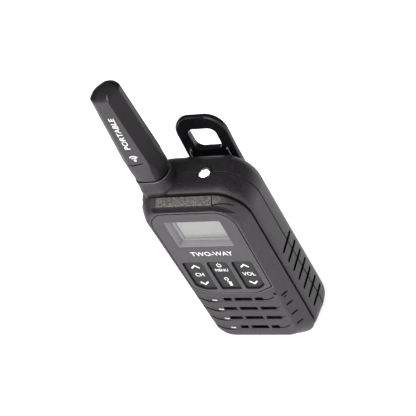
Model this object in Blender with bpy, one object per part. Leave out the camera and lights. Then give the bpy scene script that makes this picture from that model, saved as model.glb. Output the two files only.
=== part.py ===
"""Handheld two-way radio, standing on its flat base.

Sizes are in millimetres and turned into metres as each mesh is made.
X runs to the radio's right as seen from the front, Y runs from front to back, Z is up.
Depths are measured back from the face panel's plane.
"""
import math

import bmesh
import bpy
from mathutils import Vector

MM = 0.001
GAP = 0.3                      # clearance between neighbouring pieces
CUT = 1.0                      # how far a cutter runs past the surface it cuts

# Housing
FACE_Y = -16.5                 # where the face panel's plane lies
HALF_WIDTH = 29.3              # at the groove between the housings
GROOVE_TOP = 104.0             # height of the housing at the groove
CROWN_TOP = 107.0              # highest line of the rear housing
WALL = 2.0
SEAM_FRONT = 7.0               # depth where the front housing ends
SEAM_BACK = 8.2                # depth where the rear housing starts
CREASE_DEPTH = 19.5            # widest and highest section of the rear housing
BACK_DEPTH = 35.5
FACE_PLATE = 3.0               # depth of the front housing's inner floor
CORNER_STEPS = 8
ANTENNA_CORNER = 0.62          # radius of the corner under the antenna, over the other's

# Face panel and display
PANEL_TOP = 99.0
PANEL_BOTTOM = 39.4
PANEL_HALF_TOP = 23.5
PANEL_HALF_BOTTOM = 22.8
PANEL_RADIUS = 9.6
PANEL_CUT_X = 9.9
PANEL_CUT_Z = 4.6
PANEL_THICK = 0.8
WINDOW_HALF_X = 15.9
WINDOW_HALF_Z = 9.35
WINDOW_X = -0.3
WINDOW_Z = PANEL_TOP - 15.05
WINDOW_DEPTH = 4.2

# Keys
KEY_HALF_X = 5.6
KEY_X = -0.35                  # middle of the middle key
KEY_HALF_Z = 10.3
KEY_Z = PANEL_TOP - 46.2
KEY_PITCH = 14.1
KEY_FRONT = 0.7                # the keys' caps lie this far behind the panel
KEY_BACK = 4.4
KEY_PIVOT_DEPTH = 3.4
KEY_CORNER_CUT = (4.2, 3.0)

# Speaker grille
ROW_Z = [35.1, 27.8, 20.4, 13.0]
SLOT_HEIGHT = 1.9
SLOT_DROP = 0.5                # the slots lie this far below the middle of their row
SLOT_GAP = 1.75
SLOT_CENTRE = 2.0
SLOT_WIDTHS_SHORT = (4.5, 10.0, 4.7)
SLOT_WIDTHS_LONG = (7.4, 10.3, 8.9)
LOUVRE_DEPTH = 1.2
LOUVRE_HEIGHT = 3.2
LOUVRE_LEFT = -19.0
LOUVRE_RIGHT = 20.5
SPEAKER_X = 2.0
SPEAKER_Z = 24.0
MICROPHONE_X = 22.1
MICROPHONE_Z = 38.3
MICROPHONE_HOLE = 0.95

# Side grips
GRIP_TOP_Z = 55.2
GRIP_PITCH = 6.8
GRIP_COUNT = 7
GRIP_FRONT_DEPTH = 12.0
GRIP_LENGTH = 13.8
GRIP_RISE = 1.6
GRIP_HALF_HEIGHT = 1.1
GRIP_FLOOR_X = 29.1
LEFT_GRIP_FIRST = 3            # the port cover takes the place of the left side's upper slots

# Antenna
ANTENNA_X = -19.0
ANTENNA_DEPTH = 16.3
BOSS_X = -19.4
BOSS_DEPTH = 16.2
BOSS_TOP = 112.1
BOSS_HALF_X = 8.75
BOSS_HALF_Y = 7.45
BOSS_CORNER = 5.0
ANTENNA_BASE = 113.2
ANTENNA_TIP = 171.6
ANTENNA_LEAN = 1.5             # the tip stands this far towards the middle of the radio
ANTENNA_BORE = 2.6
ANTENNA_SOCKET = 3.7

# Torch
TORCH_X = 6.3
TORCH_DEPTH = 19.8
TORCH_RADIUS = 4.1

# Push to talk button, left side
TALK_Z = 76.0
TALK_HALF_Z = 12.5
TALK_DEPTH = 19.5
TALK_HALF_DEPTH = 4.6
TALK_TRAVEL = 1.0
TALK_FACE = 31.2               # how far out the cap stands
TALK_BACK = 26.6

# Accessory port, left side
PORT_Z = 50.0
PORT_HALF_Z = 6.0
PORT_DEPTH = 18.5
PORT_HALF_DEPTH = 4.0
PORT_FACE = 29.9
PORT_BACK = 28.4
SIDE_WINDOW_DEPTH = 25.0       # the side openings are cut in to this half width

# Battery
DOOR_HALF_X = 17.5
DOOR_TOP = 60.0
DOOR_BOTTOM = 6.2
DOOR_INNER_DEPTH = BACK_DEPTH - 2.3
DOOR_FLANGE_THICK = 0.8
FLANGE_Z = (24.0, 56.0)
DOOR_FLANGE = 1.2
LATCH_Z = 65.0
LATCH_HALF_X = 5.0
LATCH_HALF_Z = 2.4

# Belt clip
CLIP_HALF_X = 14.4
CLIP_THICK = 3.1
CLIP_OFFSET = 1.2              # from the pivot to the arm's inner face
CLIP_X = -1.1
PIVOT_Z = 92.0
SCREW_Z = 81.0
SCREW_X = 8.0
PIVOT_DEPTH = BACK_DEPTH + 3.6
PIN_RADIUS = 1.25
PIN_CLEARANCE = 0.06
KNUCKLE_RADIUS = 2.3
BRACKET_HALF_X = 12.0
BRACKET_TOP = 95.6
BRACKET_BOTTOM = 77.0
BRACKET_THICK = 1.6
EAR_X = 9.2
EAR_THICK = 1.8
EAR_RADIUS = 2.3
CLIP_LEAN = math.radians(4.0)
CLIP_TOP = 122.0
CLIP_CORNER = 10.0
CLIP_BOTTOM = 38.0
LOOP_HALF_X = 7.8
LOOP_BOTTOM = 100.8
LOOP_TOP = 114.3
LOOP_RADIUS = 3.6
KNUCKLE_X = 5.4
KNUCKLE_HALF = 2.4


def depth_y(depth):
    """World Y of a depth behind the face panel's plane."""
    return FACE_Y + depth


def remove_everything():
    for old in list(bpy.data.objects):
        bpy.data.objects.remove(old, do_unlink=True)


def make_material(name, colour, roughness, metallic=0.0):
    material = bpy.data.materials.new(name)
    material.use_nodes = True
    shader = material.node_tree.nodes["Principled BSDF"]
    shader.inputs["Base Color"].default_value = (*colour, 1.0)
    shader.inputs["Roughness"].default_value = roughness
    shader.inputs["Metallic"].default_value = metallic
    return material


def object_from(name, work):
    """Turn a bmesh in millimetres into an object in metres."""
    bmesh.ops.recalc_face_normals(work, faces=work.faces)
    bmesh.ops.scale(work, vec=(MM, MM, MM), verts=work.verts)
    mesh = bpy.data.meshes.new(name)
    work.to_mesh(mesh)
    work.free()
    made = bpy.data.objects.new(name, mesh)
    bpy.context.scene.collection.objects.link(made)
    return made


def loft(name, rings):
    """A closed solid through rings of equal point counts, capped at both ends."""
    work = bmesh.new()
    rows = [[work.verts.new(point) for point in ring] for ring in rings]
    for row, after in zip(rows, rows[1:]):
        for i in range(len(row)):
            j = (i + 1) % len(row)
            work.faces.new((row[i], row[j], after[j], after[i]))
    work.faces.new(rows[0])
    work.faces.new(rows[-1])
    return object_from(name, work)


def arc(centre, radius, start, end, steps):
    """Points on an arc; the angles are in degrees."""
    points = []
    for step in range(steps + 1):
        angle = math.radians(start + (end - start) * step / steps)
        points.append((centre[0] + radius * math.cos(angle), centre[1] + radius * math.sin(angle)))
    return points


def rounded_box(half_a, half_b, radius, centre=(0.0, 0.0), steps=4):
    """Outline of a rectangle with round corners."""
    a, b = half_a - radius, half_b - radius
    points = arc((centre[0] + a, centre[1] + b), radius, 0, 90, steps)
    points += arc((centre[0] - a, centre[1] + b), radius, 90, 180, steps)
    points += arc((centre[0] - a, centre[1] - b), radius, 180, 270, steps)
    points += arc((centre[0] + a, centre[1] - b), radius, 270, 360, steps)
    return points


def circle(radius, centre=(0.0, 0.0), steps=24):
    return arc(centre, radius, 0, 360, steps)[:-1]


def place(axis, outline, level):
    """Put a flat outline across an axis: (y, z) for X, (x, z) for Y and (x, y) for Z."""
    if axis == "X":
        return [(level, a, b) for a, b in outline]
    if axis == "Y":
        return [(a, level, b) for a, b in outline]
    return [(a, b, level) for a, b in outline]


def prism(name, axis, outline, low, high):
    return loft(name, [place(axis, outline, low), place(axis, outline, high)])


def block(name, x, y, z):
    """A box between pairs of limits."""
    outline = [(x[0], y[0]), (x[1], y[0]), (x[1], y[1]), (x[0], y[1])]
    return prism(name, "Z", outline, z[0], z[1])


def ring_solid(name, rings):
    """A closed loop of outlines of equal point counts, with nothing in the middle."""
    work = bmesh.new()
    rows = [[work.verts.new(point) for point in ring] for ring in rings]
    for row, after in zip(rows, rows[1:] + rows[:1]):
        for i in range(len(row)):
            j = (i + 1) % len(row)
            work.faces.new((row[i], row[j], after[j], after[i]))
    return object_from(name, work)


def frame_ring(name, axis, outer, inner, low, high):
    """A flat frame between two outlines of equal point counts."""
    return ring_solid(name, [place(axis, outer, low), place(axis, outer, high),
                             place(axis, inner, high), place(axis, inner, low)])


def tube(name, axis, centre, outer, inner, low, high, steps=24):
    """A ring of round section."""
    return frame_ring(name, axis, circle(outer, centre, steps), circle(inner, centre, steps), low, high)


def combine(target, tools, operation="DIFFERENCE"):
    """Apply one exact Boolean for each tool, then drop the tool."""
    for tool in tools:
        step = target.modifiers.new(operation.lower(), "BOOLEAN")
        step.operation = operation
        step.solver = "EXACT"
        step.object = tool
        graph = bpy.context.evaluated_depsgraph_get()
        result = bpy.data.meshes.new_from_object(target.evaluated_get(graph))
        target.modifiers.clear()
        target.data = result
        bpy.data.objects.remove(tool, do_unlink=True)
    return target


def finish(made, material, pivot=None, sharp=35.0):
    """Give a piece its material, its shading and, if it moves, its origin on its axis."""
    made.data.materials.clear()
    made.data.materials.append(material)
    made.data.name = made.name
    if pivot is not None:
        origin = Vector(pivot) * MM
        for vertex in made.data.vertices:
            vertex.co -= origin
        made.location = origin
    made.data.shade_smooth()
    made.data.set_sharp_from_angle(angle=math.radians(sharp))
    return made


# Materials
def build_materials():
    return {
        "housing": make_material("housing", (0.055, 0.053, 0.056), 0.55),
        "panel": make_material("panel", (0.10, 0.095, 0.10), 0.45),
        "keys": make_material("keys", (0.02, 0.02, 0.021), 0.6),
        "seal": make_material("seal", (0.012, 0.012, 0.013), 0.8),
        "window": make_material("window", (0.5, 0.52, 0.5), 0.1),
        "display": make_material("display", (0.42, 0.45, 0.42), 0.3),
        "antenna": make_material("antenna", (0.045, 0.044, 0.047), 0.6),
        "clip": make_material("clip", (0.01, 0.01, 0.012), 0.2),
        "board": make_material("board", (0.02, 0.12, 0.05), 0.5),
        "steel": make_material("steel", (0.55, 0.55, 0.56), 0.35, 1.0),
        "brass": make_material("brass", (0.7, 0.55, 0.25), 0.3, 1.0),
        "lens": make_material("lens", (0.85, 0.87, 0.9), 0.05),
        "battery": make_material("battery", (0.16, 0.2, 0.28), 0.4),
        "cloth": make_material("cloth", (0.01, 0.01, 0.01), 0.95),
        "magnet": make_material("magnet", (0.25, 0.25, 0.26), 0.5, 0.6),
    }


# Housing sections
def body_section(depth, half_top, half_bottom, top, bottom, round_top, round_bottom):
    """One section of the housing across its depth; the corner under the antenna is squarer."""
    steps = CORNER_STEPS
    outline = arc((half_top - round_top, top - round_top), round_top, 0, 90, steps)
    square = round_top * ANTENNA_CORNER
    outline += arc((square - half_top, top - square), square, 90, 180, steps)
    outline += arc((round_bottom - half_bottom, bottom + round_bottom), round_bottom, 180, 270, steps)
    outline += arc((half_bottom - round_bottom, bottom + round_bottom), round_bottom, 270, 360, steps)
    return place("Y", outline, depth_y(depth))


def rear_outer_sections():
    """Rear housing from its back to the groove: the back edges are strongly rounded."""
    return [
        body_section(BACK_DEPTH, 19.2, 19.2, 98.6, 8.6, 10.0, 7.6),
        body_section(BACK_DEPTH - 1.3, 23.0, 23.0, 102.8, 4.4, 12.3, 8.6),
        body_section(BACK_DEPTH - 3.8, 26.2, 26.2, 105.4, 1.6, 14.2, 10.0),
        body_section(BACK_DEPTH - 7.5, 28.8, 28.8, 106.7, 0.0, 15.8, 10.6),
        body_section(CREASE_DEPTH, 30.3, 30.3, CROWN_TOP, 0.0, 16.8, 10.6),
        body_section(14.0, 30.1, 30.1, 106.6, 0.0, 16.6, 10.5),
        body_section(9.4, 29.6, 29.6, 105.4, 0.0, 16.1, 10.3),
        body_section(SEAM_BACK, 28.7, 28.7, 103.9, 0.6, 15.0, 9.9),
    ]


def rear_inner_sections():
    return [
        body_section(SEAM_BACK, 26.3, 26.3, 101.6, 2.2, 14.0, 8.6),
        body_section(14.0, 27.2, 27.2, 103.9, 2.0, 14.6, 8.6),
        body_section(CREASE_DEPTH, 27.2, 27.2, 104.3, 2.0, 14.6, 8.6),
        body_section(BACK_DEPTH - 8.5, 26.1, 26.1, 104.2, 2.2, 14.0, 8.6),
        body_section(BACK_DEPTH - 4.4, 23.2, 23.2, 102.2, 4.0, 12.6, 8.0),
        body_section(BACK_DEPTH - WALL, 19.6, 19.6, 98.8, 7.4, 10.6, 7.6),
    ]


def panel_outline(grow=0.0):
    """Inlay outline: round top corners, cut lower corners."""
    half_top = PANEL_HALF_TOP + grow
    half_bottom = PANEL_HALF_BOTTOM + grow
    top = PANEL_TOP + grow
    bottom = PANEL_BOTTOM - grow
    radius = PANEL_RADIUS + grow
    points = arc((half_top - radius, top - radius), radius, 0, 90, CORNER_STEPS)
    points += arc((radius - half_top, top - radius), radius, 90, 180, CORNER_STEPS)
    points += [(-half_bottom, bottom + PANEL_CUT_Z), (PANEL_CUT_X - half_bottom, bottom)]
    points += [(half_bottom - PANEL_CUT_X, bottom), (half_bottom, bottom + PANEL_CUT_Z)]
    return points


def key_outline(side, grow=0.0):
    """A key's outline. side is -1, 0 or 1; the outer keys lose their outer lower corner."""
    half_x = KEY_HALF_X + grow
    half_z = KEY_HALF_Z + grow
    centre = KEY_X + side * KEY_PITCH
    cut_x, cut_z = KEY_CORNER_CUT
    right = [(half_x, -half_z)]
    left = [(-half_x, -half_z)]
    if side > 0:
        right = [(half_x - cut_x, -half_z), (half_x, cut_z - half_z)]
    if side < 0:
        left = [(-half_x, cut_z - half_z), (cut_x - half_x, -half_z)]
    corner = 1.4
    top = arc((half_x - corner, half_z - corner), corner, 0, 90, 3)
    top += arc((corner - half_x, half_z - corner), corner, 90, 180, 3)
    return [(centre + x, KEY_Z + z) for x, z in top + left + right]


def grip_cutters(side, first):
    """Slanted grip slots on one side, rising towards the back."""
    cutters = []
    front = depth_y(GRIP_FRONT_DEPTH)
    back = front + GRIP_LENGTH
    low, high = sorted((side * GRIP_FLOOR_X, side * (HALF_WIDTH + 3.0)))
    for index in range(first, GRIP_COUNT):
        z = GRIP_TOP_Z - index * GRIP_PITCH
        outline = arc((front, z), GRIP_HALF_HEIGHT, 90, 270, 4)
        outline += arc((back, z + GRIP_RISE), GRIP_HALF_HEIGHT, -90, 90, 4)
        cutters.append(prism("grip_cut", "X", outline, low, high))
    return cutters


def slot_spans(row):
    """Left and right ends of one grille row's slots."""
    widths = SLOT_WIDTHS_LONG if row in (1, 2) else SLOT_WIDTHS_SHORT
    middle = widths[1] / 2
    spans = [(SLOT_CENTRE - middle - SLOT_GAP - widths[0], SLOT_CENTRE - middle - SLOT_GAP)]
    spans.append((SLOT_CENTRE - middle, SLOT_CENTRE + middle))
    spans.append((SLOT_CENTRE + middle + SLOT_GAP, SLOT_CENTRE + middle + SLOT_GAP + widths[2]))
    return spans


# Casings
def build_front_housing(materials):
    rings = [
        body_section(0.0, 24.8, 22.2, 99.5, 6.0, 11.2, 7.2),
        body_section(0.8, 25.95, 23.6, 100.6, 4.6, 12.1, 8.1),
        body_section(4.3, 28.1, 26.7, 102.7, 1.6, 14.1, 9.3),
        body_section(6.0, 29.0, 28.6, 103.65, 0.25, 15.1, 9.9),
        body_section(SEAM_FRONT, HALF_WIDTH, HALF_WIDTH, GROOVE_TOP, 0.0, 15.5, 10.1),
        body_section(SEAM_FRONT, HALF_WIDTH - WALL, HALF_WIDTH - WALL, 102.0, 2.0, 13.5, 8.5),
        body_section(FACE_PLATE, 25.0, 23.4, 100.0, 5.0, 12.0, 7.5),
    ]
    housing = loft("front_housing", rings)
    front = depth_y(-CUT)
    inside = depth_y(FACE_PLATE + CUT)
    pocket_floor = depth_y(PANEL_THICK + GAP)
    cutters = [prism("pocket", "Y", panel_outline(GAP), front, pocket_floor)]
    window = rounded_box(WINDOW_HALF_X, WINDOW_HALF_Z, 0.8, (WINDOW_X, WINDOW_Z), 3)
    cutters.append(prism("window_cut", "Y", window, front, inside))
    for side in (-1, 0, 1):
        cutters.append(prism("key_cut", "Y", key_outline(side, GAP), front, inside))
    for row, z in enumerate(ROW_Z):
        half = LOUVRE_HEIGHT / 2
        middle = z - SLOT_DROP
        limits = (middle - SLOT_HEIGHT / 2, middle + SLOT_HEIGHT / 2)
        louvre = [(front, middle - half), (front, middle + half)]
        louvre += [(depth_y(LOUVRE_DEPTH), limits[1]), (depth_y(LOUVRE_DEPTH), limits[0])]
        cutters.append(prism("louvre_cut", "X", louvre, LOUVRE_LEFT, LOUVRE_RIGHT))
        for low, high in slot_spans(row):
            cutters.append(block("slot_cut", (low, high), (front, inside), limits))
    hole = circle(MICROPHONE_HOLE, (MICROPHONE_X, MICROPHONE_Z), 12)
    cutters.append(prism("microphone_cut", "Y", hole, front, inside))
    combine(housing, cutters)
    return finish(housing, materials["housing"])


def build_rear_housing(materials):
    housing = loft("rear_housing", rear_outer_sections() + rear_inner_sections())
    centre = (BOSS_X, depth_y(BOSS_DEPTH))
    rings = []
    for z, grow in ((95.0, 0.3), (BOSS_TOP - 0.6, 0.0), (BOSS_TOP, -0.6)):
        outline = rounded_box(BOSS_HALF_X + grow, BOSS_HALF_Y + grow, BOSS_CORNER + min(grow, 0.0), centre)
        rings.append(place("Z", outline, z))
    boss = loft("boss", rings)
    combine(housing, [boss], "UNION")
    outside = HALF_WIDTH + 3.0
    cutters = grip_cutters(1, 0) + grip_cutters(-1, LEFT_GRIP_FIRST)
    socket = circle(ANTENNA_SOCKET, (ANTENNA_X, depth_y(ANTENNA_DEPTH)))
    cutters.append(prism("antenna_cut", "Z", socket, 94.0, BOSS_TOP + CUT))
    torch = circle(TORCH_RADIUS, (TORCH_X, depth_y(TORCH_DEPTH)))
    cutters.append(prism("torch_cut", "Z", torch, 100.0, CROWN_TOP + CUT))
    talk = rounded_box(TALK_HALF_DEPTH, TALK_HALF_Z, 3.0, (depth_y(TALK_DEPTH), TALK_Z))
    cutters.append(prism("talk_cut", "X", talk, -outside, -SIDE_WINDOW_DEPTH))
    port = rounded_box(PORT_HALF_DEPTH, PORT_HALF_Z, 1.6, (depth_y(PORT_DEPTH), PORT_Z))
    cutters.append(prism("port_cut", "X", port, -outside, -SIDE_WINDOW_DEPTH))
    door_x = DOOR_HALF_X + GAP
    back = (depth_y(DOOR_INNER_DEPTH - GAP), depth_y(BACK_DEPTH + CUT))
    cutters.append(block("door_cut", (-door_x, door_x), back, (-CUT, DOOR_TOP + GAP)))
    latch = rounded_box(LATCH_HALF_X + GAP, LATCH_HALF_Z + 1.0, 0.8, (0.0, LATCH_Z + 0.7))
    cutters.append(prism("latch_cut", "Y", latch, depth_y(BACK_DEPTH - WALL - CUT), depth_y(BACK_DEPTH + CUT)))
    for side in (-1, 1):
        hole = circle(1.1, (CLIP_X + side * SCREW_X, SCREW_Z), 12)
        cutters.append(prism("screw_cut", "Y", hole, depth_y(BACK_DEPTH - 4.0), depth_y(BACK_DEPTH + CUT)))
    combine(housing, cutters)
    return finish(housing, materials["housing"])


def build_seal(materials):
    """Dark band in the groove between the housings."""
    front = SEAM_FRONT + GAP
    back = SEAM_BACK - GAP
    outer = (27.6, 27.6, 102.8, 1.2, 14.3, 9.3)
    inner = (26.6, 26.6, 101.8, 2.2, 13.3, 8.3)
    rings = [body_section(front, *outer), body_section(back, *outer)]
    rings += [body_section(back, *inner), body_section(front, *inner)]
    return finish(ring_solid("housing_seal", rings), materials["seal"])


def build_panel(materials):
    panel = prism("face_panel", "Y", panel_outline(), depth_y(0.0), depth_y(PANEL_THICK))
    front, back = depth_y(-CUT), depth_y(PANEL_THICK + CUT)
    window = rounded_box(WINDOW_HALF_X, WINDOW_HALF_Z, 0.8, (WINDOW_X, WINDOW_Z), 3)
    cutters = [prism("window_cut", "Y", window, front, back)]
    for side in (-1, 0, 1):
        cutters.append(prism("key_cut", "Y", key_outline(side, GAP), front, back))
    combine(panel, cutters)
    return finish(panel, materials["panel"])


# Display
def build_display(materials):
    centre = (WINDOW_X, WINDOW_Z)
    gasket = frame_ring("display_gasket", "Y",
                        rounded_box(WINDOW_HALF_X + 2.0, WINDOW_HALF_Z + 2.0, 2.0, centre),
                        rounded_box(WINDOW_HALF_X, WINDOW_HALF_Z, 0.8, centre),
                        depth_y(FACE_PLATE + GAP), depth_y(WINDOW_DEPTH - GAP))
    finish(gasket, materials["seal"])
    outline = rounded_box(WINDOW_HALF_X + 2.0, WINDOW_HALF_Z + 2.0, 1.0, centre)
    window = prism("display_window", "Y", outline, depth_y(WINDOW_DEPTH), depth_y(WINDOW_DEPTH + 0.9))
    finish(window, materials["window"])
    module = block("display_module", (WINDOW_X - 17.0, WINDOW_X + 17.0), (depth_y(5.4), depth_y(7.6)),
                   (WINDOW_Z - 11.0, WINDOW_Z + 11.0))
    finish(module, materials["display"])


# Keys
def build_keys(materials):
    names = {-1: "channel_key", 0: "menu_key", 1: "volume_key"}
    for side, name in names.items():
        rings = [place("Y", key_outline(side, -0.5), depth_y(KEY_FRONT))]
        rings += [place("Y", key_outline(side), depth_y(KEY_FRONT + 0.5))]
        rings += [place("Y", key_outline(side), depth_y(KEY_BACK))]
        key = loft(name, rings)
        pivot = (KEY_X + side * KEY_PITCH, depth_y(KEY_PIVOT_DEPTH), KEY_Z)
        finish(key, materials["keys"], pivot)
    mat = prism("keypad_mat", "Y", rounded_box(21.0, 12.6, 2.0, (KEY_X, KEY_Z)),
                depth_y(KEY_BACK + 0.9), depth_y(KEY_BACK + 2.4))
    finish(mat, materials["seal"])


# Electronics
def build_board(materials):
    outline = rounded_box(23.0, 41.0, 3.0, (0.0, 53.5))
    board = prism("main_board", "Y", outline, depth_y(8.6), depth_y(9.8))
    combine(board, [prism("speaker_hole", "Y", circle(12.0, (SPEAKER_X, SPEAKER_Z)),
                          depth_y(8.0), depth_y(11.0))])
    finish(board, materials["board"])


def build_speaker(materials):
    centre = (SPEAKER_X, SPEAKER_Z)
    cloth = prism("speaker_cloth", "Y", rounded_box(17.0, 13.0, 2.0, centre),
                  depth_y(FACE_PLATE + GAP), depth_y(FACE_PLATE + GAP + 0.5))
    finish(cloth, materials["cloth"])
    frame = tube("speaker_frame", "Y", centre, 14.0, 11.2, depth_y(4.1), depth_y(8.0), 32)
    finish(frame, materials["steel"])
    cone = loft("speaker_cone", [
        place("Y", circle(10.8, centre), depth_y(4.6)),
        place("Y", circle(10.8, centre), depth_y(5.0)),
        place("Y", circle(4.4, centre), depth_y(7.4)),
    ])
    finish(cone, materials["cloth"])
    magnet = prism("speaker_magnet", "Y", circle(8.0, centre), depth_y(7.8), depth_y(12.6))
    finish(magnet, materials["magnet"])
    microphone = prism("microphone", "Y", circle(2.0, (MICROPHONE_X - 1.2, MICROPHONE_Z), 16),
                       depth_y(FACE_PLATE + GAP), depth_y(6.0))
    finish(microphone, materials["steel"])


# Torch
def build_torch(materials):
    centre = (TORCH_X, depth_y(TORCH_DEPTH))
    bezel = tube("torch_bezel", "Z", centre, TORCH_RADIUS - GAP, 3.0, 102.6, CROWN_TOP - 0.3)
    finish(bezel, materials["steel"])
    rings = []
    for height, radius in ((103.9, 2.7), (105.3, 2.7), (105.9, 2.1), (106.2, 1.1)):
        rings.append(place("Z", circle(radius, centre), height))
    finish(loft("torch_lens", rings), materials["lens"])
    finish(prism("torch_lamp", "Z", circle(1.9, centre, 16), 99.5, 103.6), materials["lens"])


# Antenna
def antenna_outline(half_x, half_y, height):
    """A section with a flat front facet, broad front chamfers and small rear ones."""
    centre_x = ANTENNA_X + ANTENNA_LEAN * (height - ANTENNA_BASE) / (ANTENNA_TIP - ANTENNA_BASE)
    facet = half_x * 0.515
    side = half_y * 0.30
    rear = half_x * 0.70
    shoulder = half_y * 0.66
    right = [(facet, -half_y), (half_x, -side), (half_x, shoulder), (rear, half_y)]
    left = [(-x, y) for x, y in reversed(right)]
    return [(centre_x + x, depth_y(ANTENNA_DEPTH) + y) for x, y in right + left]


def build_antenna(materials):
    centre = (ANTENNA_X, depth_y(ANTENNA_DEPTH))
    sections = [
        (ANTENNA_BASE, 7.6, 6.4), (ANTENNA_BASE + 2.0, 8.0, 6.9), (ANTENNA_BASE + 8.0, 9.0, 7.2),
        (ANTENNA_TIP - 4.6, 7.5, 5.9),
        (ANTENNA_TIP - 1.8, 7.0, 5.2), (ANTENNA_TIP - 0.4, 5.6, 4.0), (ANTENNA_TIP, 4.2, 2.8),
    ]
    rings = [place("Z", antenna_outline(half_x, half_y, z), z) for z, half_x, half_y in sections]
    cover = loft("antenna_cover", rings)
    cutters = [prism("socket_cut", "Z", circle(ANTENNA_SOCKET, centre), ANTENNA_BASE - CUT, 120.0)]
    cutters.append(prism("bore_cut", "Z", circle(ANTENNA_BORE, centre, 16), 119.0, 161.0))
    combine(cover, cutters)
    finish(cover, materials["antenna"])
    ring = frame_ring("antenna_ring", "Z", rounded_box(8.2, 5.95, 4.4, centre, 5), circle(3.8, centre),
                      BOSS_TOP + GAP, ANTENNA_BASE - GAP)
    finish(ring, materials["seal"])
    core = loft("antenna_core", [
        place("Z", circle(3.3, centre, 16), 97.0), place("Z", circle(3.3, centre, 16), 119.0),
        place("Z", circle(0.8, centre, 16), 119.4), place("Z", circle(0.8, centre, 16), 158.0),
    ])
    finish(core, materials["brass"])
    coil = coil_along("antenna_coil", (centre[0], centre[1], 121.0), (0, 0, 1), 1.7, 0.35, 7, 34.0)
    finish(coil, materials["brass"])


def coil_along(name, start, axis, radius, wire, turns, length, per_turn=10, sides=5):
    """A helical wire about a line along Z or X."""
    work = bmesh.new()
    rows = []
    total = turns * per_turn
    along = Vector(axis)
    first = Vector((0, 1, 0))
    second = along.cross(first)
    for step in range(total + 1):
        angle = 2 * math.pi * step / per_turn
        outward = first * math.cos(angle) + second * math.sin(angle)
        centre = Vector(start) + outward * radius + along * (length * step / total)
        row = []
        for side in range(sides):
            turn = 2 * math.pi * side / sides
            row.append(work.verts.new(centre + (outward * math.cos(turn) + along * math.sin(turn)) * wire))
        rows.append(row)
    for row, after in zip(rows, rows[1:]):
        for i in range(sides):
            j = (i + 1) % sides
            work.faces.new((row[i], row[j], after[j], after[i]))
    work.faces.new(rows[0])
    work.faces.new(rows[-1])
    return object_from(name, work)


# Push to talk button
def build_talk_button(materials):
    centre = (depth_y(TALK_DEPTH), TALK_Z)
    outer = rounded_box(TALK_HALF_DEPTH - GAP, TALK_HALF_Z - GAP, 2.7, centre)
    cap = rounded_box(TALK_HALF_DEPTH - 1.3, TALK_HALF_Z - 1.3, 2.0, centre)
    rings = [place("X", cap, -TALK_FACE), place("X", outer, 0.8 - TALK_FACE), place("X", outer, -TALK_BACK)]
    button = loft("ptt_button", rings)
    finish(button, materials["keys"], (-28.0, centre[0], TALK_Z))
    switch = block("ptt_switch", (-24.9, -21.5), (centre[0] - 2.2, centre[0] + 2.2), (TALK_Z - 3.0, TALK_Z + 3.0))
    finish(switch, materials["steel"])


# Accessory port
def build_port(materials):
    centre = (depth_y(PORT_DEPTH), PORT_Z)
    outer = rounded_box(PORT_HALF_DEPTH - GAP, PORT_HALF_Z - GAP, 1.3, centre)
    inner = rounded_box(PORT_HALF_DEPTH - 1.0, PORT_HALF_Z - 1.0, 1.0, centre)
    rings = [place("X", inner, -PORT_FACE), place("X", outer, 0.4 - PORT_FACE), place("X", outer, -PORT_BACK)]
    cover = loft("port_cover", rings)
    finish(cover, materials["seal"], (-PORT_FACE, centre[0], PORT_Z - PORT_HALF_Z + GAP))
    jack = tube("accessory_jack", "X", centre, 2.6, 1.3, -28.0, -21.0, 20)
    finish(jack, materials["brass"])


# Battery
def build_battery(materials):
    pack = prism("battery_pack", "Y", rounded_box(17.6, 24.0, 2.5, (0.0, 33.5)),
                 depth_y(16.5), depth_y(DOOR_INNER_DEPTH - 1.4))
    finish(pack, materials["battery"])
    for name, x in (("battery_contact_left", -7.0), ("battery_contact_right", 7.0)):
        contact = block(name, (x - 1.6, x + 1.6), (depth_y(19.0), depth_y(27.0)), (57.8, 60.4))
        finish(contact, materials["brass"])


def build_battery_door(materials):
    """Slides down out of the back; its flanges run behind the wall's edges."""
    door = loft("battery_door", rear_outer_sections())
    keep = block("keep", (-DOOR_HALF_X, DOOR_HALF_X), (depth_y(DOOR_INNER_DEPTH), depth_y(BACK_DEPTH + CUT)),
                 (DOOR_BOTTOM, DOOR_TOP))
    combine(door, [keep], "INTERSECT")
    wide = DOOR_HALF_X + DOOR_FLANGE
    front = DOOR_INNER_DEPTH - DOOR_FLANGE_THICK
    flange = block("flange", (-wide, wide), (depth_y(front), depth_y(DOOR_INNER_DEPTH)), FLANGE_Z)
    bridge = block("bridge", (1.0 - DOOR_HALF_X, DOOR_HALF_X - 1.0),
                   (depth_y(front + 0.3), depth_y(DOOR_INNER_DEPTH + 0.6)), FLANGE_Z)
    combine(door, [bridge, flange], "UNION")
    finish(door, materials["housing"], (0.0, depth_y(BACK_DEPTH), DOOR_TOP))
    latch = prism("door_latch", "Y", rounded_box(LATCH_HALF_X, LATCH_HALF_Z, 0.7, (0.0, LATCH_Z)),
                  depth_y(BACK_DEPTH - 1.8), depth_y(BACK_DEPTH + 0.2))
    finish(latch, materials["keys"], (0.0, depth_y(BACK_DEPTH), LATCH_Z))


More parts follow.
